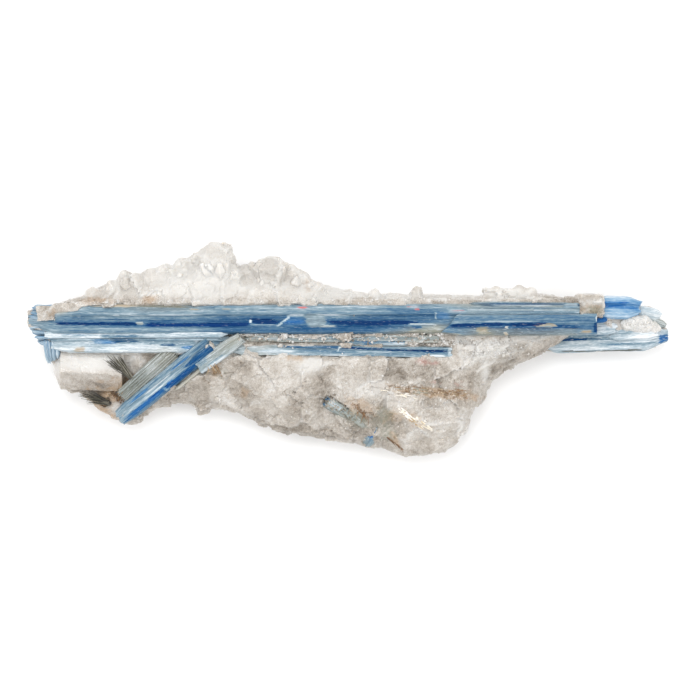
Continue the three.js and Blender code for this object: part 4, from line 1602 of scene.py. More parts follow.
LOWER_BLADE = BladeCluster("kyanite_lower_blade", "kyanite_pale", "lower_blade", (
    Blade((-92.6, 2.2, 16.4), (-37, 2.0, 17.4), 6.2, 8.2, 0.7, 0.7, rows("""
        0: 10 20 34 34 30 30 20 20 10 10 10
        8: 6 4 6 18 20 16 12 12 8 10 10 | 0 0 0 0 0 0 20 30 30 30 30
        14: 6 4 6 28 28 24 16 20 24 22 14
        22: 10 14 26 44 40 24 6 4 4 6 10
        36: 14 14 20 28 40 30 30 14 14 20 20 | 0 0 0 0 0 0 10 30 50 50 50
        46: 14 14 20 24 30 40 30 20 30 20 20
        56: 20 30 30 34 40 40 40 30 30 30 30 | 30 30
    """), seed=14, lath=0.95, relief=0.26, splinter=0.6, patches=(
        Patch(13.5, 19.5, 0.36, 0.52, 0.48, vivid=1.0, ragged=2.2),
        Patch(34, 39, 0.52, 0.62, 0.72, ragged=1.0), Patch(18, 27, 0.26, 0.34, 0.7, ragged=2.0),
        Patch(19, 27, 0.4, 0.47, 0.74, ragged=1.0),
        Patch(41, 47, 0.62, 0.78, 0.56, vivid=1.0, ragged=1.4),
        Patch(8, 11, 0.7, 0.95, 0.2, earth=0.6, ochre=0.6),
    )),
    Blade((-94.4, 4.7, 18.8), (-37.6, 5.0, 20.0), 2.5, 3.8, 0.7, 0.3, rows("""
        0: 6 16 10
        17: 2 14 8
        19: 10 18 30
        36: 8 22 20
        54: 6 14 24
    """), Outline.LATH, seed=17, lath=0.7, relief=0.14, splinter=0.4, patches=(
        Patch(17.4, 31, 0.6, 0.9, 0.5, ragged=2.4), Patch(12, 17.4, 0.7, 1.0, 0.02, lift=0.12),
        Patch(2, 15, 0.46, 0.56, 0.3, vivid=1.0, ragged=2.0), Patch(34, 40, 0.4, 0.5, 0.4, ragged=1.4),
    )),
    Blade((-84.6, 0.9, 17.0), (-56.4, 1.2, 18.4), 3.4, 5.4, 0.7, 0.5, rows("""
        0: 30 24 30 36
        8: 20 10 14 24
        14: 10 4 4 10
        28: 4 6 10 6 | 0 0 0 30
    """), Outline.SPLINTER, seed=18, lath=0.8, relief=0.22, splinter=1.6, patches=(
        Patch(3, 10, 0.1, 0.3, 0.4, ragged=2.0), Patch(0, 4, 0.6, 0.9, 0.4, ragged=1.4),
    )),
    Blade((-36.4, 0.2, 17.2), (31.6, -0.7, 18.2), 3.8, 7.4, 0.6, 0.96, rows("""
        0: 20 15 10 20 30 | 40 30 20 30 50
        10: 24 22 14 24 26 | 60 50 40 40 60
        20: 40 46 34 28 22 | 40 10 10 10 30
        34: 40 56 46 38 30 | 30 10 0 0 10
        45: 30 42 44 38 34 | 30 10 0 0 0
        56: 26 42 50 36 34 | 40 10 0 0 0
        67: 36 50 60 42 34 | 30 0 0 0 0
    """), seed=19, lath=0.95, relief=0.24, splinter=0.5, patches=(
        Patch(16, 34, 0.14, 0.28, 0.66, ragged=2.0), Patch(33, 48, 0.2, 0.36, 0.96, ragged=2.0),
        Patch(47, 66.4, 0.3, 0.48, 1.0, ragged=1.6),
        Patch(33.4, 34.1, 0.1, 0.55, 0.1, slant=-2, ragged=0.1),
        Patch(60.8, 65.8, 0.74, 0.95, 0.04, lift=0.25, ragged=0.4),
        Patch(10, 20, 0.5, 0.7, 0.06, ragged=2.0), Patch(28, 36, 0.84, 1.0, 0.1, ragged=1.4),
        Patch(38, 50, 0.5, 0.58, 0.2, ragged=2.0), Patch(50, 60, 0.3, 0.42, 0.5, coral=0.25),
        Patch(66.6, 69, 0.0, 1.0, 0.2, ragged=0.1),
    )),
    Blade((-33.6, 3.7, 18.7), (31, 3.2, 19.1), 3.0, 5.0, 0.5, 0.4, rows("""
        0: 20 30 30 20 | 80 60 60 80
        14: 30 20 40 30 | 70 40 50 80
        30: 30 40 30 40 | 60 30 40 60
        44: 20 40 20 30 | 70 40 50 80
        64: 30 30 20 30 | 80 50 70 80
    """), Outline.SPLINTER, seed=22, lath=0.4, relief=0.3, splinter=2.4),
    Blade((-3.4, 2.5, 19.2), (19, 2.2, 19.4), 2.7, 4.2, 0.5, 0.4, rows("""
        0: 30 40 40 30 | 50 30 30 50
        7: 30 44 40 20 | 20 0 0 20
        12: 40 50 30 30 | 20 0 10 40
        22: 20 50 20 30 | 40 20 30 60
    """), Outline.SPLINTER, seed=20, lath=0.6, relief=0.2, splinter=1.6, patches=(
        Patch(7.4, 10.4, 0.3, 0.8, 0.6, vivid=0.4), Patch(10, 18, 0.2, 0.3, 0.1, ragged=1.4),
        Patch(16, 20, 0.5, 0.7, 0.08),
    )),
))

DIAGONAL_BLADE = BladeCluster("kyanite_diagonal_blade", "kyanite_blue", "diagonal_blade", (
    Blade((-71.9, -21.3, 11.2), (-42.2, 2.2, 19.4), 6.4, 7.6, 0.8, 0.9, rows("""
        0: 36 30 30 30 24 30 24 30 34 34 34
        6: 40 34 46 34 30 24 26 60 66 60 50
        16: 40 32 50 36 24 32 16 60 72 70 50
        20: 34 32 50 40 30 34 30 50 74 74 60
        28: 44 32 36 36 30 42 34 70 80 80 60
        38: 40 32 56 50 40 60 60 80 80 60 50
    """), seed=21, lath=0.85, relief=0.24, splinter=1.0, patches=(
        Patch(2.4, 18.0, 0.66, 0.88, 0.78, vivid=0.8, ragged=2.6),
        Patch(17.6, 31, 0.7, 0.95, 0.84, vivid=0.5, ragged=2.6),
        Patch(17.0, 18.6, 0.7, 1.0, 0.4, lift=0.12, slant=1.0),
        Patch(2, 24, 0.54, 0.58, 0.16, ragged=1.6), Patch(6, 15, 0.2, 0.32, 0.62, vivid=0.8, ragged=2.0),
        Patch(28, 37.5, 0.46, 0.7, 0.8, vivid=0.3, ragged=2.4),
        Patch(19.6, 22, 0.62, 0.72, 0.7, vivid=1.0),
        Patch(24, 31, 0.22, 0.36, 0.66, vivid=0.7, ragged=1.2),
        Patch(12, 22, 0.4, 0.44, 0.04, ragged=1.6),
    )),
))

SILVER_BLADE = BladeCluster("kyanite_silver_blade", "kyanite_green", "silver_blade", tuple(
    Blade((-72.6 + 0.5 * n, -13.7 - 0.56 * n, 12.8 - 0.13 * n), (-55.2 + 0.5 * n, 2.2 - 0.56 * n, 17.6),
          1.5, 4.8, 0.8, 0.7, rows("""
        0: 30 50 20 10 | 60 80 60 80
        8: 20 10 70 10 | 60 40 90 60
        14: 70 10 10 60 | 90 60 40 90
        21: 10 60 10 30 | 60 90 60 70
    """), Outline.SPLINTER, seed=124 + n, lath=0.34, relief=0.16, splinter=2.0)
    for n in range(8)
))

GREEN_BLADE = BladeCluster("kyanite_green_blade", "kyanite_green", "green_blade", (
    Blade((-46.8, -5.5, 18.4), (-33.2, 4.0, 20.6), 4.7, 6, 0.94, 0.8, rows("""
        0: 34 30 34 30 | 40 40 40 40
        6: 30 24 36 24 | 50 50 50 30
        15: 30 26 30 20 | 60 70 60 50
    """), seed=31, lath=0.9, relief=0.1, splinter=0.7, patches=(
        Patch(0, 10, 0.84, 1.0, 0.08, lift=0.1), Patch(1, 4, 0.1, 0.5, 0.34),
        Patch(3, 9, 0.7, 0.76, 0.4, ragged=1.4),
    )),
    Blade((-54.4, -12.4, 15.0), (-45.2, -5.2, 18.4), 1.6, 3.6, 0.5, 0.6, rows("""
        0: 20 30 20 | 80 90 80
        12: 10 30 10 | 70 90 80
    """), Outline.SPLINTER, seed=32, lath=0.5, relief=0.14, splinter=1.0),
))

LEFT_STUB_BLADE = BladeCluster("kyanite_left_stub", "kyanite_pale", "left_stub_blade", tuple(
    Blade((-94.2 + 1.2 * n, 3.6 - 0.2 * n, 17.4), (-93.4 + 0.9 * n, -4.0 + 0.5 * n, 14.2 + 0.4 * n),
          2.3, 4.4, 0.8, 0.6, rows("""
        0: 34 20 44
        3: 46 20 36 | 20 30 10
        8: 16 26 16 | 30 20 30
    """), Outline.SPLINTER, seed=34 + n, lath=0.5, relief=0.2, splinter=0.8, vivid=0.5)
    for n in range(4)
))

BACK_BLADE = BladeCluster("kyanite_back_blade", "kyanite_blue", "back_blade", (
    Blade((36, 13.9, 20.4), (70.6, 13.7, 20.8), 2.6, 5.6, 0.4, 0.92, rows("""
        0: 30 50 30 40 | 60 50 40 30
        10: 10 80 40 60 | 50 20 40 20
        22: 20 80 20 50 | 60 30 50 20
        34: 10 70 30 50 | 50 30 40 20
    """), Outline.SPLINTER, seed=38, lath=0.5, relief=0.2, splinter=1.0, patches=(
        Patch(30, 34, 0.2, 0.9, 0.2, ragged=0.6), Patch(8, 26, 0.5, 0.6, 0.02, ragged=2.4),
    )),
))

TAIL_BLUE_BLADE = BladeCluster("kyanite_tail_blue_blade", "kyanite_blue", "tail_blue_blade", (
    Blade((74, 13.4, 15), (90.6, 13.2, 12.8), 7.4, 8, 0.8, 0.62, rows("""
        0: 14 20 36 50 54 50 36 36 36 36 36
        6: 10 14 30 50 56 50 36 34 30 30 36
        16: 10 20 30 44 50 50 40 34 30 30 30
    """), seed=63, lath=1.2, relief=0.2, splinter=1.4, vivid=1.0, patches=(
        Patch(1, 12, 0.27, 0.5, 0.74, vivid=1.0, ragged=1.4),
        Patch(3, 12, 0.57, 0.6, 0.2, ragged=1.4, vivid=1.0),
        Patch(11, 15.4, 0.36, 0.6, 0.6, vivid=1.0, ragged=1.0),
    )),
    Blade((74.8, 9.3, 17.4), (79.4, 9.5, 16.6), 2.2, 4, 0.9, 0.8, rows("""
        0: 70 90 80
        4: 60 90 70
    """), Outline.SPLINTER, seed=64, lath=0.6, relief=0.16, splinter=0.4, vivid=0.7),
))

TAIL_BLADE = BladeCluster("kyanite_tail_blade", "kyanite_pale", "tail_blade", (
    Blade((57, 3.4, 9.4), (100.2, 4.6, 8.8), 9.4, 8.8, 0.55, 0.4, rows("""
        0: 23 23 23 23 33 33 33 23 23 23 23
        10: 23 23 23 23 33 33 29 13 13 13 23
        18: 23 23 13 33 33 33 23 19 13 9 23
        24: 13 9 3 23 23 13 13 23 18 13 23
        30: 13 23 33 13 3 9 13 18 23 13 23
        36: 3 3 0 0 0 0 3 13 23 18 23
        42: 3 13 7 13 23 33 33 27 23 23 23
    """), seed=71, lath=1.1, relief=0.3, splinter=1.2, patches=(
        Patch(10, 18.4, 0.5, 0.6, 0.84, slant=-3, ragged=1.4, vivid=0.3),
        Patch(19, 26.4, 0.3, 0.44, 0.8, slant=-3, vivid=0.5),
        Patch(39.4, 43, 0.46, 0.86, 0.74, lift=0.15, ragged=0.4, vivid=0.9),
        Patch(28, 34, 0.42, 0.46, 0.6, ragged=1.0), Patch(24, 31, 0.2, 0.3, 0.46, ragged=2.0),
        Patch(31, 39, 0.2, 0.6, 0.04, lift=0.3, ragged=1.2), Patch(17, 32, 0.52, 0.6, 0.4, ragged=3.0),
        Patch(22, 38, 0.7, 0.76, 0.36, ragged=3.0), Patch(8, 34, 0.96, 1.0, 0.9, earth=1.0, ragged=2.0),
    )),
    Blade((60, 6.6, 13.2), (84, 6.9, 12.8), 4.6, 5, 0.5, 0.6, rows("""
        0: 23 23 23 23 | 50 40 30 20
        14: 13 13 7 23 | 30 10 0 0
        24: 13 5 13 23 | 40 10 0 0
    """), Outline.LATH, seed=72, lath=0.7, relief=0.26, splinter=2.2),
    Blade((80, 4.4, 13.0), (96.6, 5.4, 12.4), 4.4, 2.6, 0.5, 0.6, rows("""
        0: 23 13 23 23
        6: 33 33 13 13
        10: 3 0 0 3
        17: 3 0 3 13
    """), Outline.SPLINTER, seed=73, lath=0.8, relief=0.26, splinter=1.8),
))

TAIL_TIP_BLADE = BladeCluster("kyanite_tail_tip", "kyanite_pale", "tail_tip_blade", (
    Blade((88.6, 12.4, 11.2), (97.2, 10.7, 9.6), 4.2, 5.6, 0.7, 0.7, rows("""
        0: 18 10 16 12
        8: 14 8 8 14 | 0 0 20 30
    """), Outline.SPLINTER, seed=76, lath=0.7, relief=0.24, splinter=0.9),
    Blade((92.6, 9.8, 10.6), (99, 7.4, 9.2), 2.8, 4.4, 0.7, 0.5, rows("""
        0: 20 16 20 | 50 40 30
        6: 24 20 24 | 60 50 40
    """), Outline.SPLINTER, seed=77, lath=0.6, relief=0.24, splinter=0.8),
))

LOBE_BLADE = BladeCluster("kyanite_lobe_blade", "kyanite_green", "lobe_blade", (
    Blade((-8.4, -15.2, 15.9), (0.4, -20.4, 14.5), 3.9, 5, 0.9, 0.8, rows("""
        0: 44 30 30 50 | 60 50 50 70
        5: 44 16 30 56 | 70 40 50 70
        10: 40 30 30 50 | 80 60 70 90
    """), seed=81, lath=0.7, relief=0.3, splinter=1.8, patches=(
        Patch(2, 6, 0.3, 0.5, 0.14, earth=0.2), Patch(0, 1.4, 0.1, 0.9, 0.7, earth=0.3),
    )),
    Blade((-2.4, -18.2, 16.5), (5.6, -24.4, 14.4), 3.2, 4.4, 0.7, 0.5, rows("""
        0: 50 40 50 | 70 60 70
        10: 30 30 40 | 80 70 80
    """), Outline.SPLINTER, seed=82, lath=0.6, relief=0.24, splinter=1.4),
))

LOBE_STUB_BLADE = BladeCluster("kyanite_lobe_stub", "kyanite_pale", "lobe_stub_blade", (
    Blade((9.0, -22.8, 15.4), (5.0, -29.6, 11.2), 4.6, 4.4, 0.8, 0.7, rows("""
        0: 30 40 44 40 | 70 60 50 70
        4: 40 50 40 30 | 50 20 30 60
        9: 30 40 44 30 | 60 50 50 70
    """), Outline.SPLINTER, seed=85, lath=0.6, relief=0.24, splinter=0.9, patches=(
        Patch(2, 5, 0.3, 0.7, 0.7, vivid=1.0, ragged=1.2),
    )),
))

BURIED_BLADE = BladeCluster("kyanite_buried_blade", "kyanite_green", "buried_blade", tuple(
    Blade((13.2 + 3 * n, -11.6 - 1.1 * n, 17.1 - 0.3 * n), (39.6 - n, -14.2 - 0.5 * n, 15.0),
          1.5, 4.2, 0.3, 0.3, rows("""
        0: 10 20 30 | 100 100 100
        9: 20 50 30 | 100 80 100
        28: 30 30 50 | 100 100 100
    """), Outline.SPLINTER, seed=88 + n, lath=0.4, relief=0.2, splinter=3.0, patches=(
        Patch(12, 27, 0.0, 1.0, 0.4, earth=1.0, ochre=0.8, ragged=3.0),
    ))
    for n in range(2)
))

BLUE_CLUSTERS = (MAIN_BLADE, DIAGONAL_BLADE, BACK_BLADE, TAIL_BLUE_BLADE)
PALE_CLUSTERS = (LOWER_BLADE, LEFT_STUB_BLADE, TAIL_BLADE, TAIL_TIP_BLADE, LOBE_STUB_BLADE)
DULL_CLUSTERS = (SILVER_BLADE, GREEN_BLADE, LOBE_BLADE, BURIED_BLADE)
ALL_CLUSTERS = (*BLUE_CLUSTERS, *PALE_CLUSTERS, *DULL_CLUSTERS)


@dataclass
class Kyanite:
    """All the kyanite of the specimen, in three finishes."""

    blue: KyaniteFinish = KyaniteFinish("blue_kyanite", contrast=0.6, specks=0.16)
    pale: KyaniteFinish = KyaniteFinish("pale_kyanite", contrast=0.55, stretch=11.0)
    dull: KyaniteFinish = KyaniteFinish("grey_green_kyanite", contrast=0.5, specks=0.5, stretch=9.0,
                                        roughness=0.42)

    def make(self) -> list[bpy.types.Object]:
        """Builds and dresses every blade.

        Returns:
            The pieces' objects.
        """
        pieces = []
        for clusters, finish in (
                (BLUE_CLUSTERS, self.blue), (PALE_CLUSTERS, self.pale), (DULL_CLUSTERS, self.dull)):
            material = finish.material()
            pieces += [cluster.make(material) for cluster in clusters]
        return pieces


class Ground:
    """The specimen's upper side as built so far, for laying small things on it."""

    START_HEIGHT = 60.0

    def __init__(self, pieces: list[bpy.types.Object]) -> None:
        """Gathers the faces of the pieces.

        Args:
            pieces: the objects that small things may lie on.
        """
        shapes = []
        for piece in pieces:
            piece.data.calc_loop_triangles()
            shapes.append((points_of(piece.data), [list(t.vertices) for t in piece.data.loop_triangles]))
        points, faces = merge_shapes(shapes)
        self.tree = BVHTree.FromPolygons(points.tolist(), faces)

    def height(self, x: float, y: float) -> float | None:
        """The height of the upper side at a place, or None past its edge."""
        hit, _, _, _ = self.tree.ray_cast(Vector((x, y, self.START_HEIGHT)), Vector((0, 0, -1)))
        return hit.z if hit else None


class BitForm(Enum):
    """What one scattered bit looks like."""

    FIBRE = "fibre"
    CHIP = "chip"


@dataclass(frozen=True)
class Bed:
    """Loose fibres or chips in one stretch of the specimen.

    Places and sizes are in millimetres, heading, fan and rise in degrees. Sunk is a share of the girth.
    Level gives the heights of the bits' feet where they don't lie on the ground.
    """

    start: tuple[float, float]
    end: tuple[float, float]
    count: int
    spread: float
    length: tuple[float, float]
    girth: tuple[float, float]
    heading: float = 0.0
    fan: float = 10.0
    rise: float = 0.0
    sunk: float = 0.3
    shade: tuple[float, float] = (0.0, 1.0)
    level: tuple[float, float] | None = None


@dataclass
class Scatter:
    """Many small bits that share a finish, laid on the specimen by their beds."""

    name: str
    slot: str
    form: BitForm
    beds: tuple[Bed, ...]
    seed: int
    nodes: tuple[str, ...] = ()
    blunt_end: float = 0.3
    sides: int = 5
    chip_lean: float = 1.6

    def _feet(self, ground: Ground) -> bpy.types.Mesh:
        """One point for each bit.

        Args:
            ground: what the bits lie on.

        Returns:
            A mesh of points, each with its heading, reach, girth and shade.
        """
        noise = np.random.default_rng(self.seed)
        rows = []
        for bed in self.beds:
            for _ in range(bed.count):
                share = noise.uniform()
                x, y = (a + (b - a) * share + noise.normal(0, bed.spread)
                        for a, b in zip(bed.start, bed.end))
                turn = math.radians(bed.heading + noise.normal(0, bed.fan))
                rise = math.radians(bed.rise + noise.normal(0, bed.fan * 0.5))
                length, girth = noise.uniform(*bed.length), noise.uniform(*bed.girth)
                shade = noise.uniform(*bed.shade)
                z = noise.uniform(*bed.level) if bed.level else ground.height(x, y)
                if z is None:
                    continue
                heading = (math.cos(turn) * math.cos(rise), math.sin(turn) * math.cos(rise), math.sin(rise))
                rows.append(((x, y, z - bed.sunk * girth), heading, length, girth, shade))
        places, headings, reaches, girths, shades = zip(*rows)
        mesh = bpy.data.meshes.new("feet")
        mesh.from_pydata([tuple(MM * value for value in place) for place in places], [], [])
        heading = mesh.attributes.new("heading", "FLOAT_VECTOR", "POINT")
        heading.data.foreach_set("vector", np.array(headings, np.float32).ravel())
        store(mesh, {"reach": reaches, "girth": girths, "shade": shades})
        return mesh

    def _bit(self, grown: GrownShape) -> bpy.types.NodeSocket:
        """One fibre or chip, a millimetre long or round before it is sized.

        Args:
            grown: the tree.

        Returns:
            The bit's geometry.
        """
        graph = grown.graph
        if self.form is BitForm.FIBRE:
            return graph.add("GeometryNodeMeshCone", {
                "Vertices": grown.size("Sides"), "Radius Top": grown.size("Blunt end"),
                "Radius Bottom": 1.0, "Depth": 1.0, "Side Segments": 2}).outputs[0]
        ball = graph.add("GeometryNodeMeshIcoSphere", {"Radius": 1.0, "Subdivisions": 1}).outputs[0]
        lean = graph.add("ShaderNodeTexNoise", {"Scale": 1.3, "Detail": 1.0}).outputs[1]
        lean = graph.scaled(graph.vector("SUBTRACT", lean, (0.5, 0.5, 0.5)), self.chip_lean)
        return graph.add("GeometryNodeSetPosition", {"Geometry": ball, "Offset": lean}).outputs[0]

    def _tree(self, finish: bpy.types.Material) -> GrownShape:
        """Puts one bit on each point, turned to its heading and sized by its reach and girth.

        Args:
            finish: the material that the bits take.

        Returns:
            The tree, ready to run.
        """
        grown = GrownShape(f"{self.name}_bits", {"Blunt end": self.blunt_end, "Sides": self.sides})
        graph = grown.graph
        turned = graph.facing(grown.read("heading", "FLOAT_VECTOR"))
        girth = graph.math("MULTIPLY", grown.read("girth"), MM)
        size = graph.joined(girth, girth, graph.math("MULTIPLY", grown.read("reach"), MM))
        bits = graph.add("GeometryNodeInstanceOnPoints", {
            "Points": grown.start(), "Instance": self._bit(grown), "Rotation": turned,
            "Scale": size}).outputs[0]
        grown.finish_with(bits, finish)
        return grown

    def make(self, ground: Ground, finish: bpy.types.Material) -> bpy.types.Object:
        """Builds and dresses the bits."""
        mesh = dressed_quartz(self._tree(finish).run(self._feet(ground)))
        return Piece(self.name, self.slot, finish, self.nodes).from_mesh(mesh)


@dataclass
class QuartzCrust:
    """Blunt crystals grown out of the ridge, pointing up and away from the blades."""

    crystal_size: float = 3.8
    density: float = 0.012
    outward: tuple[float, float, float] = (0.0, 0.9, 0.5)
    seed: int = 4
    sunk: float = 1.7
    point_start: float = 1.33
    point_width: float = 0.34

    def _crystal(self, graph: Graph) -> bpy.types.NodeSocket:
        """A six-sided bar that narrows to a point at its upper end.

        Args:
            graph: where the nodes go.

        Returns:
            The crystal's geometry.
        """
        bar = graph.add("GeometryNodeMeshCone", {
            "Vertices": 6, "Radius Top": 0.5, "Radius Bottom": 0.5, "Depth": 2.0,
            "Side Segments": 3}).outputs[0]
        position = graph.add("GeometryNodeInputPosition").outputs[0]
        x, y, z = graph.add("ShaderNodeSeparateXYZ", {0: position}).outputs
        narrow = graph.range(z, self.point_start, 2.0, 1.0, self.point_width)
        drawn = graph.joined(graph.math("MULTIPLY", x, narrow), graph.math("MULTIPLY", y, narrow),
                             graph.math("SUBTRACT", z, self.sunk))
        return graph.add("GeometryNodeSetPosition", {"Geometry": bar, "Position": drawn}).outputs[0]

    def _tree(self, finish: bpy.types.Material) -> GrownShape:
        """Spreads crystals where the mass has crust, half sunk and leaning outward.

        Args:
            finish: the material that they take.

        Returns:
            The tree, ready to run.
        """
        grown = GrownShape("quartz_crust", {
            "Crystal size": self.crystal_size, "Density": self.density, "Outward": self.outward,
            "Seed": self.seed})
        graph = grown.graph
        density = graph.math("MULTIPLY", grown.read("crust"), grown.size("Density"))
        spread = graph.add("GeometryNodeDistributePointsOnFaces", {
            "Mesh": grown.start(), "Density": graph.math("MULTIPLY", density, 1 / MM ** 2),
            "Seed": grown.size("Seed")}).outputs
        sway = graph.random_vector((-0.5, -0.4, -0.3), (0.5, 0.4, 0.4), grown.size("Seed"))
        lean = graph.vector("ADD", graph.scaled(spread["Normal"], 0.5), sway)
        turned = graph.facing(graph.vector("ADD", lean, grown.size("Outward")))
        spun = graph.random_vector((0, 0, 0), (0, 0, 3.0), 0)
        turned = graph.add("FunctionNodeRotateRotation", {"Rotation": turned, "Rotate By": spun},
                           rotation_space="LOCAL").outputs[0]
        share = graph.random_number(0.45, 1.3, 0)
        size = graph.math("MULTIPLY", graph.math("MULTIPLY", share, grown.size("Crystal size")), MM)
        bits = graph.add("GeometryNodeInstanceOnPoints", {
            "Points": spread["Points"], "Instance": self._crystal(graph), "Rotation": turned,
            "Scale": graph.joined(size, size, size)}).outputs[0]
        grown.finish_with(grown.keep(bits, "tint", graph.random_number(0.0, 0.5, 9), "INSTANCE"), finish)
        return grown

    def make(self, mass: bpy.types.Object) -> bpy.types.Object:
        """Builds and dresses the crust.

        Args:
            mass: the broken mass that the crystals sit on.

        Returns:
            The crust's object.
        """
        finish = QuartzFinish("crust_quartz", transmission=0.1, roughness=0.3, glow=0.7, glow_reach=0.9,
                              depth=0.34).material()
        base = mass.data.copy()
        points = points_of(base)
        x, y, z = points.T
        ridge = soft_step(18, 20.5, y) * soft_step(8, 13, z) * soft_step(-92, -80, x)
        ridge = ridge * (1 - 0.95 * soft_step(-14, -4, x))
        lower = Spot(-45, -17.5, 4, 2.4, 0.5).strength(points)
        store(base, {"crust": ridge + lower})
        mesh = dressed_quartz(self._tree(finish).run(base))
        return Piece("quartz_crust", "quartz", finish).from_mesh(mesh)


MICA_BEDS = (
    Bed((-68.8, -8.0), (-68.2, -8.7), 30, 0.25, (7, 9.6), (0.12, 0.24), heading=137, fan=4, rise=16,
        shade=(-0.3, 0.8), level=(16.0, 17.4)),
    Bed((-68.4, -7.8), (-67.6, -8.5), 24, 0.25, (6, 8), (0.12, 0.24), heading=121, fan=4, rise=16,
        shade=(-0.3, 0.9), level=(16.0, 17.4)),
    Bed((-75.4, -16.2), (-74.8, -16.8), 44, 0.3, (5.5, 9.6), (0.12, 0.22), heading=160, fan=7, rise=6,
        shade=(-0.3, 0.9), level=(11.6, 13.0)),
)
EARTH_BEDS = (
    Bed((-73.4, -13.8), (-71.4, -15.8), 70, 0.7, (1.0, 2.6), (0.1, 0.2), heading=60, fan=50, shade=(0.4,
        1)),
    Bed((-42.6, -4.6), (-40.4, -6.6), 30, 0.7, (1.2, 2.8), (0.1, 0.2), heading=-60, fan=16, shade=(0.1,
        0.9)),
    Bed((1, -16.4), (4.6, -19.6), 34, 0.5, (1.4, 3.4), (0.1, 0.2), heading=-60, fan=24, shade=(0.5, 1)),
    Bed((14, -11.6), (34, -13.6), 70, 0.6, (0.8, 3.0), (0.1, 0.2), heading=-7, fan=4, sunk=0.3,
        shade=(0.0, 0.9)),
    Bed((28, -12.6), (36, -13.8), 60, 0.6, (0.6, 1.8), (0.12, 0.22), heading=-7, fan=12, sunk=0.3,
        shade=(0.2, 0.8)),
    Bed((11, -26.6), (16.2, -31), 24, 0.15, (0.8, 2.0), (0.08, 0.16), heading=-45, fan=8, sunk=0.6,
        shade=(0.6, 1)),
)
PALE_BEDS = (
    Bed((15.4, -18.6), (23.6, -23.8), 34, 0.7, (1.0, 2.6), (0.2, 0.46), heading=-36, fan=5, sunk=0.5,
        shade=(-0.3, 0.4)),
    Bed((16, -19.6), (22, -23.4), 14, 0.6, (1.0, 2.0), (0.14, 0.26), heading=-36, fan=5, sunk=0.4,
        shade=(0.6, 1)),
    Bed((10, -12.4), (20, -14), 16, 0.5, (1.2, 3.0), (0.14, 0.3), heading=-12, fan=8, sunk=0.5, shade=(0,
        0.5)),
)
GRAIN_BEDS = (
    Bed((-34, 3.6), (30, 3.2), 200, 0.7, (0.3, 0.8), (0.2, 0.5), fan=60, sunk=0.5, shade=(-0.6, 0.8)),
    Bed((-8.4, -15.2), (1.6, -21.4), 90, 1.3, (0.3, 0.8), (0.25, 0.5), fan=60, sunk=0.5, shade=(-0.4, 1)),
    Bed((12, -11.4), (38, -14.6), 150, 0.8, (0.3, 0.8), (0.25, 0.5), fan=60, sunk=0.5, shade=(-0.8, 0.4)),
    Bed((86, 8.2), (95, 7.8), 50, 0.6, (0.3, 0.9), (0.3, 0.6), fan=60, sunk=0.6, shade=(-1.0, 0.0)),
    Bed((28, 2.2), (50, 2.4), 160, 0.5, (0.3, 0.8), (0.3, 0.6), fan=60, sunk=0.5, shade=(-0.6, 0.8)),
    Bed((-90, 14.4), (-50, 15.2), 80, 0.4, (0.3, 0.7), (0.2, 0.5), fan=60, sunk=0.6, shade=(-0.8, 0.3)),
    Bed((-50, 15.2), (36, 15.2), 100, 0.3, (0.3, 0.7), (0.2, 0.45), fan=60, sunk=0.6, shade=(-0.8, 0.2)),
    Bed((-30, -6), (36, -20), 130, 6.0, (0.25, 0.7), (0.2, 0.4), fan=60, sunk=0.7, shade=(-0.8, 0)),
    Bed((34, -2), (56, 0.6), 90, 1.0, (0.4, 1.0), (0.3, 0.6), fan=60, sunk=0.6, shade=(-0.6, 0.4)),
    Bed((18, 4.7), (29, 4.7), 60, 0.16, (0.3, 0.7), (0.3, 0.5), fan=60, sunk=-0.4, shade=(-0.6, 0.6)),
    Bed((17, 2.1), (28.6, 1.6), 60, 0.16, (0.3, 0.7), (0.3, 0.5), fan=60, sunk=-0.4, shade=(-0.6, 0.6)),
)


@dataclass
class SmallThings:
    """Mica, needles, splinters and grains that lie in and on the specimen."""

    grains: QuartzFinish = QuartzFinish("grain_quartz", transmission=0.2, roughness=0.3, glow=0.3,
                                        glow_reach=0.6, facet=0.9, depth=0.34)

    def make(self, ground: Ground) -> None:
        """Builds and dresses every bed.

        Args:
            ground: what they lie on.
        """
        sheaves = ("upper_mica_sheaf", "lower_mica_sheaf")
        for name, slot, form, beds, seed, nodes, finish in (
                ("mica_sheaves", "mica", BitForm.FIBRE, MICA_BEDS, 51, sheaves, MICA_FIBRES),
                ("brown_needles", "quartz", BitForm.FIBRE, EARTH_BEDS, 52, (), BROWN_NEEDLES),
                ("pale_splinters", "quartz", BitForm.FIBRE, PALE_BEDS, 53, (), PALE_SPLINTERS),
                ("quartz_grains", "quartz", BitForm.CHIP, GRAIN_BEDS, 54, (), self.grains)):
            Scatter(name, slot, form, beds, seed, nodes).make(ground, finish.material())


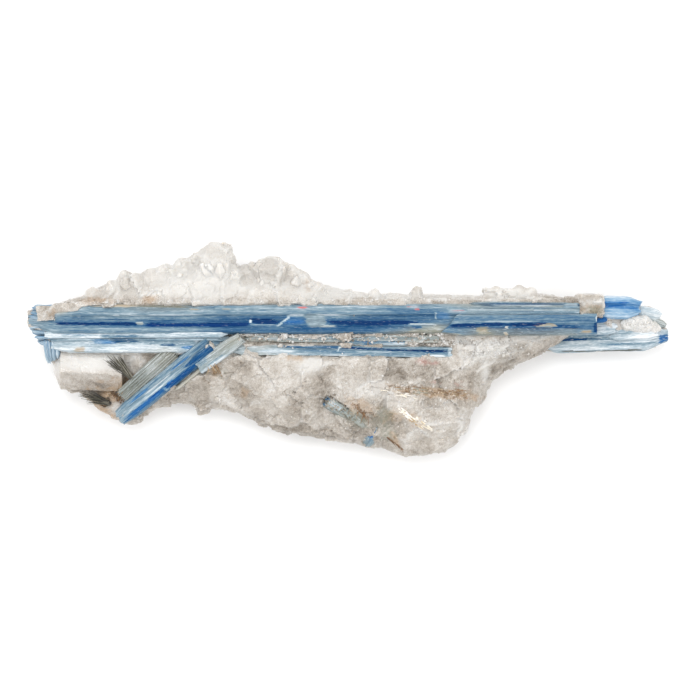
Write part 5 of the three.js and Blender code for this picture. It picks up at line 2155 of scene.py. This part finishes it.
@dataclass
class TailQuartz:
    """The quartz that fills the tail between its blades."""

    lumps: tuple[QuartzPoint, ...] = (
        QuartzPoint((94.6, 8.2, 13.6), (85.4, 8.0, 12.2), 3.0, 2.4, 20),
        QuartzPoint((90.4, 9.8, 14.6), (84.8, 8.2, 11.6), 2.6, 2.0, 5),
        QuartzPoint((97.0, 6.6, 12.4), (90.6, 8.0, 11.0), 2.2, 1.6, 40),
        QuartzPoint((79.0, 15.2, 18.4), (70.6, 14.6, 17.6), 2.6, 0.8, 10),
        QuartzPoint((78.6, 12.2, 17.6), (70.4, 11.6, 16.6), 2.4, 0.8, 35),
        QuartzPoint((82.0, 7.6, 13.8), (76.0, 9.0, 13.0), 1.8, 1.2, 15),
    )
    breaking: QuartzMass = QuartzMass(grid_step=0.35, coarse=Facets(4.4, 0.8), middle=Facets(2.0, 0.36),
                                      small=Facets(0.8, 0.08), ledge=0.3, sink=0.0)
    finish: QuartzFinish = QuartzFinish("tail_quartz", transmission=0.12, roughness=0.3, facet=1.4,
                                        depth=0.08)
    seed: int = 19

    def make(self) -> bpy.types.Object:
        """Builds and dresses the quartz of the tail.

        Returns:
            Its object.
        """
        noise = np.random.default_rng(self.seed)
        corners, faces = merge_shapes([lump.shape(noise) for lump in self.lumps])
        material = self.finish.material()
        mesh = self.breaking.broken(mesh_from(keep_in_box(corners), faces), material)
        return Piece("tail_quartz_lumps", "quartz", material, ("tail_quartz",)).from_mesh(mesh)


@dataclass(frozen=True)
class Softbox:
    """One square studio light: where it hangs in metres, how wide it is and its power in watts."""

    name: str
    place: tuple[float, float, float]
    width: float
    power: float

    def hang(self) -> None:
        """Puts the light up, turned to the specimen."""
        data = bpy.data.lights.new(self.name, "AREA")
        data.size = self.width
        data.energy = self.power
        lamp = bpy.data.objects.new(self.name, data)
        lamp.location = self.place
        lamp.rotation_euler = (-Vector(self.place)).to_track_quat("-Z", "Y").to_euler()
        bpy.context.scene.collection.objects.link(lamp)


@dataclass
class Studio:
    """A pale floor, soft studio light all round, and a camera that looks straight down.

    Sizes are in millimetres, apart from the floor's width in metres. The frame's width is what the camera
    takes in at the aim height.
    """

    lens: float = 120.0
    sensor: float = 36.0
    frame_width: float = 217.0
    aim_height: float = 16.0
    floor_size: float = 6.0
    floor_height: float = -0.01
    surround: float = 0.86
    lights: tuple[Softbox, ...] = (
        Softbox("key", (-0.1, 0.48, 1.05), 0.6, 4.6),
        Softbox("left_light", (-0.7, 0.1, 0.9), 0.7, 1.9),
        Softbox("right_light", (0.7, 0.05, 0.9), 0.7, 1.8),
        Softbox("front_fill", (0.1, -0.5, 1.0), 0.7, 2.0),
    )

    def make(self) -> None:
        """Puts up the floor, the lights and the camera."""
        self._floor()
        for softbox in self.lights:
            softbox.hang()
        world = bpy.data.worlds.new("surround")
        bpy.context.scene.world = world
        world.use_nodes = True
        world.node_tree.nodes["Background"].inputs["Color"].default_value = (1.0, 1.0, 1.0, 1.0)
        world.node_tree.nodes["Background"].inputs["Strength"].default_value = self.surround
        self._camera()

    def _floor(self) -> None:
        """One wide sheet just under the specimen."""
        half = self.floor_size / 2 / MM
        sheet = [(x * half, y * half, self.floor_height) for x, y in ((-1, -1), (1, -1), (1, 1), (-1, 1))]
        mesh = mesh_from(np.array(sheet), [[0, 1, 2, 3]])
        mesh.materials.append(FloorFinish().material())
        floor = bpy.data.objects.new("floor", mesh)
        bpy.context.scene.collection.objects.link(floor)

    def _camera(self) -> None:
        """A long lens far enough up that the frame is as wide as the photograph's."""
        data = bpy.data.cameras.new("camera")
        data.lens = self.lens
        data.sensor_width = self.sensor
        data.clip_end = 20.0
        camera = bpy.data.objects.new("camera", data)
        rise = self.frame_width * self.lens / self.sensor + self.aim_height
        camera.location = (0.0, 0.0, rise * MM)
        bpy.context.scene.collection.objects.link(camera)
        bpy.context.scene.camera = camera
        bpy.context.scene.view_settings.view_transform = "Standard"


def main() -> None:
    """Builds the specimen piece by piece, then the studio."""
    logging.basicConfig(level=logging.INFO, format="%(name)s %(message)s")
    mass = QuartzMass().make()
    QuartzPoints().make()
    QuartzCrust().make(mass)
    tail = TailQuartz().make()
    blades = Kyanite().make()
    SmallThings().make(Ground([mass, tail, *blades]))
    Studio().make()


if __name__ == "__main__":
    main()
